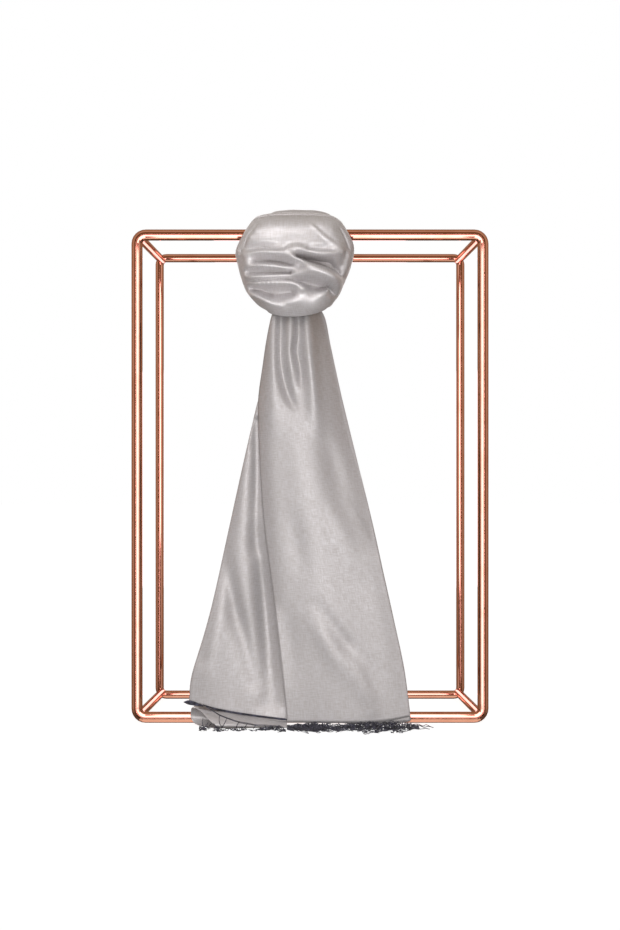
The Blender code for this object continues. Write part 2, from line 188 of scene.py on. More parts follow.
def grid_object(
    name: str,
    points: Array,
    cut: Array,
    around: bool,
    wall: float,
    keep: Array | None = None,
) -> bpy.types.Object:
    """Make a smooth cloth shell from a grid of points.

    Args:
        name: the piece's name.
        points: rows by columns by xyz, in millimetres.
        cut: rows by columns by two, each point's place on the flat cloth in metres.
        around: whether each row closes on itself.
        wall: the cloth's thickness in millimetres.
        keep: optional mask of the quads to keep.

    Returns:
        The linked object, with its wall as a Solidify modifier.
    """
    rows, columns = points.shape[:2]
    index = np.arange(rows * columns).reshape(rows, columns)
    after = np.roll(index, -1, axis=1) if around else index[:, 1:]
    before = index if around else index[:, :-1]
    quads = np.stack([before[:-1], after[:-1], after[1:], before[1:]], axis=-1)
    if keep is not None:
        quads = quads[keep[:, :quads.shape[1]]]
    quads = quads.reshape(-1, 4)
    mesh = bpy.data.meshes.new(name)
    mesh.from_pydata((points.reshape(-1, 3) * MM).tolist(), [], quads.tolist())
    layer = mesh.uv_layers.new(name="cut")
    corners = np.empty(len(mesh.loops), dtype=np.int32)
    mesh.loops.foreach_get("vertex_index", corners)
    layer.data.foreach_set("uv", cut.reshape(-1, 2)[corners].astype(np.float32).ravel())
    mesh.shade_smooth()
    item = bpy.data.objects.new(name, mesh)
    bpy.context.scene.collection.objects.link(item)
    cloth = item.modifiers.new("cloth_wall", "SOLIDIFY")
    cloth.thickness = wall * MM
    cloth.offset = 0.0
    return item


def flat_cut(points: Array, around: bool) -> Array:
    """Place every point of a grid on the flat cloth by its distance along rows and columns.

    Args:
        points: rows by columns by xyz, in millimetres.
        around: whether each row closes on itself.

    Returns:
        Rows by columns by two, in metres.
    """
    step_u = np.linalg.norm(np.diff(points, axis=1), axis=2).mean(axis=0)
    step_v = np.linalg.norm(np.diff(points, axis=0), axis=2).mean(axis=1)
    u = np.concatenate([[0.0], np.cumsum(step_u)]) * MM
    v = np.concatenate([[0.0], np.cumsum(step_v)]) * MM
    grid = np.stack(np.meshgrid(u, v), axis=-1)
    if around:
        grid[..., 0] -= u[-1] / 2.0
    return grid


# ---------------------------------------------------------------------------------------------
# Relief: listed folds
# ---------------------------------------------------------------------------------------------

SOFT_FOLD_SPACING = 2.0     # between the places at which a soft fold is read, in millimetres


@dataclass(frozen=True)
class FoldLine:
    """A crest or a trough, as a smooth line over an elevation of the cloth.

    Args:
        name: what the line is.
        points: places that it runs through, across and up, in millimetres.
        heights: how far it stands out from start to end, negative for a trough.
        widths: its half width from start to end, where it is soft and stands alone.
    """

    name: str
    points: tuple[tuple[float, float], ...]
    heights: tuple[float, ...]
    widths: tuple[float, ...] = (8.0,)

    def samples(self, spacing: float) -> tuple[Array, Array]:
        """Read evenly spaced places on the line.

        Args:
            spacing: about how far apart they are, in millimetres.

        Returns:
            The places, and how far along the line each one is, from 0 to 1.
        """
        corners = np.asarray(self.points, dtype=float)
        length = float(np.linalg.norm(np.diff(corners, axis=0), axis=1).sum())
        along = np.linspace(0.0, 1.0, max(2, int(length / spacing) + 1))
        return read_curve(corners, along), along

    def height_at(self, along: Array) -> Array:
        """Return the line's height at shares of its length."""
        if len(self.heights) == 1:
            return np.full(along.shape, float(self.heights[0]))
        return read_curve(np.array(self.heights), along)[:, 0]

    def soft_height(self, x: Array, z: Array) -> Array:
        """Read the height of a soft fold that stands alone.

        Args:
            x: places across.
            z: places up, as many.

        Returns:
            The height at each place, which fades over the fold's half width.
        """
        line, along = self.samples(SOFT_FOLD_SPACING)
        widths = np.interp(along, np.linspace(0.0, 1.0, len(self.widths)), self.widths)
        heights = self.height_at(along)
        nearest = np.full(x.shape, np.inf)
        reading = np.zeros(x.shape)
        for place, width, height in zip(line, widths, heights):
            gap = ((x - place[0]) ** 2 + (z - place[1]) ** 2) / width ** 2
            closer = gap < nearest
            nearest = np.where(closer, gap, nearest)
            reading = np.where(closer, height, reading)
        return reading * np.exp(-nearest)


@dataclass
class Relief:
    """Cloth stretched over fold lines: a smooth surface through all of them.

    Args:
        lines: the crests and troughs.
        softness: radius to which a crest is rounded, in millimetres.
        gain: by how much every height is multiplied.
        spacing: distance between the places that hold the cloth.
        nearest: places closer than this share of the spacing are one place.
        give: how far the cloth may miss a held height, against how hard it pulls.
        batches: in how many parts a grid is read, to save memory.
    """

    lines: tuple[FoldLine, ...]
    softness: float
    gain: float = 1.0
    spacing: float = 4.0
    nearest: float = 0.4
    give: float = 0.02
    batches: int = 40
    _held: Array = field(init=False)
    _weights: Array = field(init=False)

    def __post_init__(self) -> None:
        """Solve the stretched surface once."""
        places: list[Array] = []
        heights: list[float] = []
        apart = self.spacing * self.nearest
        for line in self.lines:
            spots, along = line.samples(self.spacing)
            for place, height in zip(spots, line.height_at(along) * self.gain):
                if all(np.hypot(*(place - other)) > apart for other in places):
                    places.append(place)
                    heights.append(float(height))
        self._held = np.array(places)
        count = len(places)
        matrix = np.ones((count + 1, count + 1))
        matrix[:count, :count] = self._pull(self._held)
        matrix[:count, :count] += np.eye(count) * self.give
        matrix[count, count] = 0.0
        self._weights = np.linalg.solve(matrix, np.append(heights, 0.0))

    def _pull(self, places: Array) -> Array:
        """Return the distance of each place to each held place, rounded by the softness."""
        gaps = places[:, None, :] - self._held[None, :, :]
        return np.sqrt((gaps ** 2).sum(axis=2) + self.softness ** 2)

    def height(self, x: Array, z: Array) -> Array:
        """Read the relief's height.

        Args:
            x: places across.
            z: places up, as many.

        Returns:
            The height at each place.
        """
        flat = np.column_stack([x.ravel(), z.ravel()])
        batches = np.array_split(flat, self.batches)
        parts = [self._pull(part) @ self._weights[:-1] for part in batches]
        return (np.concatenate(parts) + self._weights[-1]).reshape(x.shape)


@dataclass(frozen=True)
class Ripple:
    """Even ripples over a stretch of cloth.

    Args:
        height: how far they stand out.
        across: millimetres across that turn the wave by a radian.
        deep: millimetres in depth that do.
        phase: where in the wave it starts, in radians.
    """

    height: float
    across: float
    deep: float
    phase: float = 0.0

    def at(self, x: Array, y: Array) -> Array:
        """Return the ripples' height at places across and in depth."""
        return self.height * np.sin(x / self.across + y / self.deep + self.phase)


@dataclass(frozen=True)
class Swell:
    """Slanting folds round the knot's hidden side.

    Args:
        height: how far they stand out.
        upward: number of folds over the knot's height.
        around: number of folds that a whole turn would cross.
        shear: how much more they slant towards the top.
        phase: where in the wave they start, as a share of it.
    """

    height: float
    upward: float
    around: float
    shear: float = 0.0
    phase: float = 0.0

    def at(self, level: Array, sweep: Array) -> Array:
        """Return the folds' height at levels and places round the knot."""
        slant = self.around * sweep + self.shear * sweep * level
        return self.height * np.sin(2.0 * math.pi * (self.upward * level + slant + self.phase))


# ---------------------------------------------------------------------------------------------
# Finishes
# ---------------------------------------------------------------------------------------------

def new_material(
    name: str,
) -> tuple[bpy.types.Material, bpy.types.NodeTree, bpy.types.Node]:
    """Start a node material.

    Args:
        name: the real material's name.

    Returns:
        The material, its node tree and its shader.
    """
    material = bpy.data.materials.new(name)
    material.use_nodes = True
    return material, material.node_tree, material.node_tree.nodes["Principled BSDF"]


def patches(tree: bpy.types.NodeTree, size_mm: float, detail: float) -> bpy.types.NodeSocket:
    """Add a noise over a piece's own space.

    Args:
        tree: node tree to add to.
        size_mm: size of its patches.
        detail: number of finer layers in it.

    Returns:
        The noise's output socket.
    """
    place = add_node(tree, "ShaderNodeTexCoord").outputs["Object"]
    noise = add_node(
        tree, "ShaderNodeTexNoise", values={"Scale": 1.0 / (size_mm * MM), "Detail": detail},
        links={"Vector": place})
    return noise.outputs["Fac"]


@dataclass(frozen=True)
class SilkSatin:
    """Silver-grey silk satin, piece dyed and calendered.

    Long floats of filament give the eye broad soft highlights that run along each fold, and the
    uneven filling yarn gives faint slubs across and along the cloth.
    """

    name: str = "silk satin"
    colour: str = "D0CDCF"
    slub_colour: str = "C2BDBC"
    roughness: float = 0.5
    metallic: float = 0.38
    anisotropy: float = 0.3
    slub_width_mm: float = 1.4      # drawn twice as coarse as the real yarn, so that it shows
    slub_length_mm: float = 15.0
    slub_height_mm: float = 0.4
    slub_strength: float = 0.12
    sheen: float = 0.12
    sheen_roughness: float = 0.4

    def build(self) -> bpy.types.Material:
        """Make the node material.

        Returns:
            The material, which reads the place on the flat cloth.
        """
        material, tree, shader = new_material(self.name)
        cut = add_node(tree, "ShaderNodeUVMap", {"uv_map": "cut"}).outputs["UV"]
        warp = self._yarns(tree, cut, (self.slub_width_mm, self.slub_length_mm))
        weft = self._yarns(tree, cut, (self.slub_length_mm, self.slub_width_mm))
        weave = add_node(tree, "ShaderNodeMath", {"operation": "ADD"}, links={0: warp, 1: weft})
        tone = add_node(
            tree, "ShaderNodeMapRange",
            values={"From Min": 0.75, "From Max": 1.25, "To Min": 0.0, "To Max": 1.0},
            links={"Value": weave.outputs[0]})
        colour = add_node(
            tree, "ShaderNodeMix", {"data_type": "RGBA"},
            {6: linear(self.slub_colour), 7: linear(self.colour)}, {0: tone.outputs[0]})
        gloss = add_node(
            tree, "ShaderNodeMapRange",
            values={"From Min": 0.7, "From Max": 1.3,
                    "To Min": self.roughness + 0.05, "To Max": self.roughness - 0.04},
            links={"Value": weave.outputs[0]})
        bump = add_node(
            tree, "ShaderNodeBump",
            values={"Strength": self.slub_strength, "Distance": self.slub_height_mm * MM},
            links={"Height": weave.outputs[0]})
        tree.links.new(colour.outputs[2], shader.inputs["Base Color"])
        tree.links.new(gloss.outputs[0], shader.inputs["Roughness"])
        tree.links.new(bump.outputs[0], shader.inputs["Normal"])
        shader.inputs["Metallic"].default_value = self.metallic
        shader.inputs["Anisotropic"].default_value = self.anisotropy
        shader.inputs["Sheen Weight"].default_value = self.sheen
        shader.inputs["Sheen Roughness"].default_value = self.sheen_roughness
        return material

    def _yarns(
        self, tree: bpy.types.NodeTree, cut: bpy.types.NodeSocket, size_mm: tuple[float, float]
    ) -> bpy.types.NodeSocket:
        """Add a noise that is stretched into yarns.

        Args:
            tree: node tree to add to.
            cut: the place on the flat cloth.
            size_mm: a slub's extent along the cloth's width and length.

        Returns:
            The noise's output socket.
        """
        scale = (1.0 / (size_mm[0] * MM), 1.0 / (size_mm[1] * MM), 1.0)
        laid = add_node(tree, "ShaderNodeMapping", values={"Scale": scale}, links={"Vector": cut})
        noise = add_node(
            tree, "ShaderNodeTexNoise", {"noise_dimensions": "2D"},
            {"Scale": 1.0, "Detail": 2.0, "Roughness": 0.6}, {"Vector": laid.outputs[0]})
        return noise.outputs["Fac"]


@dataclass(frozen=True)
class FringeYarn:
    """Spun viscose yarn, dyed dark slate blue and knotted into a net.

    It gives the eye a matt, nearly black tangle with a few lighter bluish strands.
    """

    name: str = "slate yarn"
    dark: str = "23222E"
    light: str = "5C5B6E"
    roughness: float = 0.62
    sheen: float = 0.2
    fleck_mm: float = 7.14          # length of yarn that keeps its tone

    def build(self) -> bpy.types.Material:
        """Make the node material.

        Returns:
            The material, dark with lighter stretches.
        """
        material, tree, shader = new_material(self.name)
        fleck = patches(tree, self.fleck_mm, 3.0)
        tone = add_node(
            tree, "ShaderNodeMapRange", values={"From Min": 0.4, "From Max": 0.72},
            links={"Value": fleck})
        colour = add_node(
            tree, "ShaderNodeMix", {"data_type": "RGBA"},
            {6: linear(self.dark), 7: linear(self.light)}, {0: tone.outputs[0]})
        tree.links.new(colour.outputs[2], shader.inputs["Base Color"])
        shader.inputs["Roughness"].default_value = self.roughness
        shader.inputs["Sheen Weight"].default_value = self.sheen
        return material


@dataclass(frozen=True)
class CopperPlate:
    """Rose-copper plate on round steel tube, polished and lacquered.

    It gives the eye sharp, long reflections in warm pinkish browns.
    """

    name: str = "copper-plated steel tube"
    colour: str = "D8997C"
    aged_colour: str = "CC8A6C"
    edge_colour: str = "E0B09C"
    roughness: float = 0.08
    haze: float = 0.02
    lacquer: float = 0.5
    lacquer_roughness: float = 0.1
    cloud_mm: float = 38.0          # patches where the copper under the lacquer has deepened
    polish_mm: float = 1.1          # polishing marks, drawn coarser than real ones so that they show

    def build(self) -> bpy.types.Material:
        """Make the node material.

        Returns:
            The material, a clear coat over metal.
        """
        material, tree, shader = new_material(self.name)
        cloud = patches(tree, self.cloud_mm, 2.0)
        polish = patches(tree, self.polish_mm, 2.0)
        aged = add_node(
            tree, "ShaderNodeMapRange", values={"From Min": 0.5, "From Max": 0.75},
            links={"Value": cloud})
        colour = add_node(
            tree, "ShaderNodeMix", {"data_type": "RGBA"},
            {6: linear(self.colour), 7: linear(self.aged_colour)}, {0: aged.outputs[0]})
        hazed = add_node(
            tree, "ShaderNodeMapRange",
            values={"From Min": 0.3, "From Max": 0.7,
                    "To Min": self.roughness - self.haze, "To Max": self.roughness + self.haze},
            links={"Value": polish})
        tree.links.new(colour.outputs[2], shader.inputs["Base Color"])
        tree.links.new(hazed.outputs[0], shader.inputs["Roughness"])
        shader.inputs["Metallic"].default_value = 1.0
        shader.inputs["Specular Tint"].default_value = linear(self.edge_colour)
        shader.inputs["Coat Weight"].default_value = self.lacquer
        shader.inputs["Coat Roughness"].default_value = self.lacquer_roughness
        return material


# ---------------------------------------------------------------------------------------------
# The knot
# ---------------------------------------------------------------------------------------------

@dataclass(frozen=True)
class KnotRing:
    """One level of the knot: extents across and in depth, and its height at each side."""

    left: float
    right: float
    front: float
    back: float
    z_front: float
    z_side: float
    z_back: float
    square: float

    def row(self) -> tuple[float, ...]:
        """Return the columns in order."""
        return astuple(self)


def ring_points(rings: tuple[KnotRing, ...], levels: Array, turns: Array, fall: float) -> Array:
    """Place a grid of points on stacked rings.

    Args:
        rings: levels from the bottom up.
        levels: where to read the levels, from 0 to 1.
        turns: places round each ring; 0 is the front, 0.25 the right, 0.5 the back.
        fall: how late a ring drops from its front towards its sides.

    Returns:
        Levels by turns by xyz, in millimetres.
    """
    table = read_curve(np.array([ring.row() for ring in rings]), levels)
    left, right, front, back, z_front, z_side, z_back, square = (c[:, None] for c in table.T)
    angle = 2.0 * math.pi * turns[None, :]
    side, ahead = np.sin(angle), np.cos(angle)
    power = 2.0 / square
    x = (left + right) / 2.0 + (right - left) / 2.0 * np.sign(side) * np.abs(side) ** power
    y = (front + back) / 2.0 - (back - front) / 2.0 * np.sign(ahead) * np.abs(ahead) ** power
    from_front = np.arccos(np.clip(ahead, -1.0, 1.0)) / (math.pi / 2.0)
    forward = z_front + (z_side - z_front) * np.minimum(from_front, 1.0) ** fall
    behind = z_back + (z_side - z_back) * (2.0 - np.maximum(from_front, 1.0)) ** 2.0
    z = np.where(from_front <= 1.0, forward, behind)
    return np.stack([x, y, z], axis=-1)


@dataclass
class KnotWrap:
    """The puffed turn of cloth that closes the knot below the rail.

    Args:
        rings: its levels, from the neck up.
        edge_fall: how late its upper edge drops from the front towards the sides.
        lowest_at: where across the lower rim is lowest.
        rise_left: how fast the lower rim rises to the left of that, with the distance squared.
        rise_right: the same to the right.
        rise_most: the most that the lower rim rises.
        rise_until: level at which that rise has faded out.
        lip_level: level of the groove under the upper edge.
        lip_width: the groove's half width, as a share of the levels.
        lip_depth: the groove's depth.
        wall: the cloth's thickness.
        columns_front: columns of points round the front half.
        columns_back: columns round the back half.
        rows: rows of points.
        softness: radius to which the folds' crests are rounded.
        gain: by how much the front folds' heights are multiplied.
        forward_share: share of a fold's height that goes straight forward.
        back_swells: the folds on the hidden side.
    """

    rings: tuple[KnotRing, ...] = (
        KnotRing(-67.0, 29.0, -65.0, -1.0, 643.5, 655.0, 655.0, 4.0),
        KnotRing(-80.0, 33.0, -77.0, 13.0, 655.0, 663.0, 665.0, 3.2),
        KnotRing(-97.0, 45.0, -88.0, 31.0, 677.0, 682.0, 683.0, 2.6),
        KnotRing(-108.0, 57.0, -94.0, 41.0, 704.0, 706.0, 699.0, 2.4),
        KnotRing(-114.0, 65.0, -96.0, 46.0, 731.0, 728.0, 713.0, 2.5),
        KnotRing(-117.5, 68.0, -94.0, 47.0, 757.0, 744.0, 725.0, 2.6),
        KnotRing(-114.0, 69.5, -87.0, 46.0, 780.0, 750.0, 734.0, 2.8),
        KnotRing(-110.5, 66.0, -70.0, 44.0, 798.0, 752.0, 739.0, 2.8),
        KnotRing(-107.0, 62.0, -46.0, 42.0, 807.5, 753.0, 742.0, 2.8),
    )
    edge_fall: float = 2.9
    lowest_at: float = -28.0
    rise_left: float = 0.0033
    rise_right: float = 0.0036
    rise_most: float = 11.0
    rise_until: float = 0.16
    lip_level: float = 0.92
    lip_width: float = 0.016
    lip_depth: float = 5.5
    wall: float = 0.6
    columns_front: int = 240
    columns_back: int = 70
    rows: int = 150
    softness: float = 2.6
    gain: float = 1.5
    forward_share: float = 0.75
    back_swells: tuple[Swell, ...] = (
        Swell(2.6, 2.6, 1.5, shear=0.4),
        Swell(1.2, 5.3, -2.2, phase=0.3),
    )

    def front_folds(self) -> tuple[FoldLine, ...]:
        """List the crests and troughs across the knot's front, from the top down.

        Returns:
            The lines that the cloth is stretched over.
        """
        return (
            FoldLine("upper edge", ((-84, 801), (-47, 807), (0, 807), (29, 801), (45, 792)), (0,)),
            FoldLine("dome, high", ((-84, 776), (-43, 780), (0, 779), (34, 774)), (2, 3, 3, 2)),
            FoldLine("dome, middle", ((-92, 764), (-55, 765), (-10, 764), (30, 762)), (2, 3, 3.5, 2)),
            FoldLine("dome, low", ((-96, 755), (-60, 754), (-14, 752), (20, 751)), (0, 1.5, 3, 1)),
            FoldLine("crease under the dome", ((-104, 747), (-86, 746), (-60, 744), (-38, 743)),
                     (-2, -3, -1, 5)),
            FoldLine("pinch, upper crest",
                     ((-104, 739), (-77, 740), (-54, 738), (-35, 732), (-21, 724), (-14, 718)),
                     (3, 6, 8, 9, 9, 8)),
            FoldLine("pinch, hollow", ((-84, 726), (-63, 725), (-43, 723), (-29, 719)),
                     (-5, -8, -9, -4)),
            FoldLine("pinch, lower crest",
                     ((-104, 716), (-80, 719), (-56, 717), (-38, 713), (-24, 712)), (3, 7, 7, 7, 8)),
            FoldLine("loop, hollow", ((-96, 711), (-76, 710), (-52, 708), (-30, 707)), (-3, -5, -5, -3)),
            FoldLine("loop, lower crest",
                     ((-100, 708), (-94, 702), (-78, 700), (-58, 701), (-36, 702), (-10, 700), (12, 696.5),
                      (28, 692), (38, 686)), (4, 6, 6, 6, 7, 10, 12, 13, 11)),
            FoldLine("slit under the roll",
                     ((-96, 698.5), (-78, 696.5), (-58, 697.5), (-32, 697.5), (-8, 694), (12, 690.5),
                      (28, 686.5), (37, 680.5), (42, 675)), (0, 0, 1, 0, -5, -8, -8, -4, 0)),
            FoldLine("roll, crest",
                     ((-36, 741), (-31, 733), (-14, 724), (6, 718), (28, 711), (42, 702), (47, 692),
                      (44, 682)), (9, 11, 13, 14, 15, 15, 12, 8)),
            FoldLine("lens right of the dome", ((-2, 743), (16, 742), (34, 743)), (3, 0, 2)),
            FoldLine("crest below the lens", ((-34, 741), (-8, 739), (14, 737), (34, 737), (50, 741)),
                     (9, 7, 7, 7, 5)),
            FoldLine("great hollow", ((-20, 732), (0, 727), (18, 723), (34, 718), (46, 709)),
                     (-4, -13, -16, -14, -6)),
            FoldLine("great hollow, upper", ((16, 730), (32, 729), (44, 724)), (-6, -7, -5)),
            FoldLine("lower loop, crest",
                     ((-97, 694), (-83, 693), (-56, 693.5), (-30, 692.5), (-14, 687), (-8, 681), (-14, 674),
                      (-28, 667), (-42, 661)), (2, 5, 7, 9, 11, 12, 11, 10, 8)),
            FoldLine("lower loop, hollow", ((-92, 688), (-72, 683), (-49, 679), (-28, 680)),
                     (-9, -12, -11, -6)),
            FoldLine("lower loop, hollow's floor", ((-82, 680), (-66, 673), (-48, 669)), (-3, -5, -2)),
            FoldLine("lower rim", ((-100, 684), (-84, 676), (-66, 668), (-50, 661), (-36, 660)),
                     (3, 7, 9, 9, 9)),
            FoldLine("bowl", ((-80, 667), (-62, 657), (-30, 652), (6, 655), (30, 668)), (4, 7, 8, 8, 6)),
            FoldLine("bowl, right", ((2, 668), (14, 678), (26, 684)), (10, 9, 5)),
            FoldLine("right crease", ((46, 782), (54, 768), (61, 752)), (-3, -5, -4)),
            FoldLine("right streak", ((62, 742), (58, 722), (52, 706)), (1, 1.5, 1)),
            FoldLine("right streak's hollow", ((55, 740), (53, 722), (50, 708)), (-2, -2.5, -1)),
            FoldLine("left crease", ((-86, 788), (-100, 764), (-108, 744)), (-3, -4, -3)),
            FoldLine("left side", ((-114, 746), (-110, 726), (-104, 700)), (0, 1, 0)),
            FoldLine("lower edge", ((-86, 668), (-64, 648), (-25, 643), (18, 650), (38, 672)),
                     (1, 3, 5, 3, 1)),
        )

    def fine_folds(self) -> tuple[FoldLine, ...]:
        """List the narrow creases that lie on the larger forms.

        Returns:
            The creases, each on its own.
        """
        return (
            FoldLine("diagonal crease", ((-3, 786), (10, 773), (22, 763), (36, 754), (50, 744)),
                     (0, 2.0, 2.4, 1.6, 0), (2.5, 3.0, 3.5)),
            FoldLine("beside the diagonal", ((4, 786), (18, 772), (32, 762), (46, 752)),
                     (0, -1.6, -1.6, 0), (4, 5)),
            FoldLine("left dimple", ((-105, 733), (-103.5, 722)), (-3, -3), (4,)),
            FoldLine("right crease's line", ((48, 780), (55, 769), (61, 753), (65, 736)),
                     (-2, -3, -3, 0), (2,)),
            FoldLine("left rim's line", ((-83, 787), (-94, 774), (-101, 759), (-105, 744)),
                     (-2, -3, -3, 0), (2,)),
        )

    def build(self) -> bpy.types.Object:
        """Raise the folds on the stacked rings.

        Returns:
            The turn's shell, open at its neck and at its upper edge.
        """
        front = (np.arange(self.columns_front) / self.columns_front - 0.5) * 0.5
        back = 0.25 + 0.5 * np.arange(self.columns_back) / self.columns_back
        turns = np.concatenate([front, back])
        levels = np.linspace(0.0, 1.0, self.rows)
        base = ring_points(self.rings, levels, turns, self.edge_fall)
        base[..., 2] += self._rim_rise(base[..., 0], levels)
        outward = surface_normals(base, around=True)
        relief = Relief(self.front_folds(), self.softness, self.gain)
        facing = np.cos(2.0 * math.pi * turns)[None, :]
        height = relief.height(base[..., 0], base[..., 2]) * fade(facing, 0.06, 0.55)
        for fold in self.fine_folds():
            height += fold.soft_height(base[..., 0], base[..., 2])
        lip = np.exp(-((levels - self.lip_level) / self.lip_width) ** 2)[:, None]
        height -= self.lip_depth * lip * fade(facing, -0.2, 0.1)
        toward = outward * (1.0 - self.forward_share) + np.array([0.0, -self.forward_share, 0.0])
        points = base + toward * height[..., None]
        points += outward * self._back_folds(turns, levels)[..., None]
        return grid_object("knot_wrap_cloth", points, flat_cut(points, True), True, self.wall)

    def _rim_rise(self, across: Array, levels: Array) -> Array:
        """Find how far the lower rim rises from its lowest place towards both sides.

        Args:
            across: every point's place across.
            levels: the rows' levels.

        Returns:
            The rise of every point.
        """
        aside = across - self.lowest_at
        rise = np.where(aside > 0.0, self.rise_right * aside ** 2, self.rise_left * aside ** 2)
        return np.minimum(rise, self.rise_most) * (1.0 - fade(levels, 0.0, self.rise_until))[:, None]

    def _back_folds(self, turns: Array, levels: Array) -> Array:
        """Lay slanting folds round the knot's hidden side: broad ones, and finer ones on them.

        Args:
            turns: the columns' places round the knot.
            levels: the rows' levels.

        Returns:
            The folds' height at every point.
        """
        behind = fade(-np.cos(2.0 * math.pi * turns), -0.1, 0.5)[None, :]
        level = levels[:, None]
        sweep = turns[None, :] - 0.5
        folds = sum(swell.at(level, sweep) for swell in self.back_swells)
        return behind * folds * fade(level, 0.02, 0.2) * (1.0 - 0.7 * fade(level, 0.8, 1.0))


@dataclass
class KnotSaddle:
    """The middle of the stole where it lies over the rail.

    Args:
        rail_z: height of the rail's axis.
        rail_radius: the rail's radius.
        rings: its levels, from inside the turn to its top.
        middle_x: where across its two sides part.
        wall: the cloth's thickness.
        columns: columns of points all round.
        rows: rows of points.
        tuck: how far the cloth is drawn in where the rail runs out of it.
        tuck_reach: how far from the rail that is felt, in rail radii.
        clearance: gap between the cloth and the rail.
        ripples: its small folds.
    """

    rail_z: float
    rail_radius: float
    rings: tuple[KnotRing, ...] = (
        KnotRing(-96.0, 46.0, -74.0, 28.0, 700.0, 700.0, 700.0, 2.3),
        KnotRing(-107.0, 58.0, -78.0, 38.0, 735.0, 735.0, 735.0, 2.4),
        KnotRing(-104.0, 57.0, -80.0, 38.0, 752.0, 752.0, 752.0, 2.4),
        KnotRing(-97.0, 53.0, -75.0, 36.0, 770.0, 770.0, 770.0, 2.4),
        KnotRing(-91.0, 51.0, -54.0, 33.0, 785.0, 785.0, 785.0, 2.4),
        KnotRing(-84.0, 46.0, -37.0, 28.0, 797.0, 797.0, 797.0, 2.4),
        KnotRing(-77.0, 39.0, -29.0, 22.0, 806.0, 806.0, 806.0, 2.3),
        KnotRing(-63.0, 25.0, -23.0, 15.0, 814.0, 814.0, 814.0, 2.2),
        KnotRing(-42.0, 8.0, -16.0, 8.0, 817.5, 817.5, 817.5, 2.2),
        KnotRing(-24.0, -20.0, -6.0, -3.0, 818.5, 818.5, 818.5, 2.0),
    )
    middle_x: float = -25.0
    wall: float = 0.6
    columns: int = 220
    rows: int = 90
    tuck: float = 12.0
    tuck_reach: float = 1.6
    clearance: float = 0.6
    ripples: tuple[Ripple, ...] = (
        Ripple(0.8, 9.5, 26.0),
        Ripple(0.4, 4.6, 40.0, 1.2),
    )

    def build(self) -> bpy.types.Object:
        """Lay the cloth over the rail.

        Returns:
            The saddle's shell, open where the rail runs through it.
        """
        turns = np.arange(self.columns) / self.columns
        levels = np.linspace(0.0, 1.0, self.rows)
        base = ring_points(self.rings, levels, turns, 1.0)
        outward = surface_normals(base, around=True)
        points = base + outward * self._folds(base, levels)[..., None]
        from_rail = np.hypot(points[..., 1], points[..., 2] - self.rail_z)
        inward = self.tuck * np.exp(-(from_rail / (self.rail_radius * self.tuck_reach)) ** 2)
        points[..., 0] += np.where(points[..., 0] > self.middle_x, -inward, inward)
        opening = self.rail_radius + self.clearance
        spread = np.maximum(opening / np.maximum(from_rail, 0.5), 1.0)
        points[..., 1] *= spread
        points[..., 2] = self.rail_z + (points[..., 2] - self.rail_z) * spread
        inside = from_rail < opening
        keep = ~(inside[:-1] & inside[1:] & np.roll(inside, -1, axis=1)[:-1])
        return grid_object("knot_saddle_cloth", points, flat_cut(base, True), True, self.wall, keep)

    def _folds(self, base: Array, levels: Array) -> Array:
        """Lay folds that run over the rail from front to back.

        Args:
            base: the cloth before it is folded.
            levels: the rows' levels.

        Returns:
            The folds' height at every point, which fades towards the top.
        """
        folds = sum(ripple.at(base[..., 0], base[..., 1]) for ripple in self.ripples)
        return folds * (1.0 - fade(levels, 0.75, 1.0))[:, None]


# ---------------------------------------------------------------------------------------------
# The hanging ends
# ---------------------------------------------------------------------------------------------

class Side(Enum):
    """The side on which a hanging end's face turns over into its hidden layers."""

    LEFT = -1
    RIGHT = 1


@dataclass(frozen=True)
class TailRow:
    """One level of a hanging end: its edges, the depth of its face, and its folded thickness."""

    z: float
    left: float
    right: float
    face: float
    depth: float
    bow: float

    def row(self) -> tuple[float, ...]:
        """Return the columns in order."""
        return astuple(self)


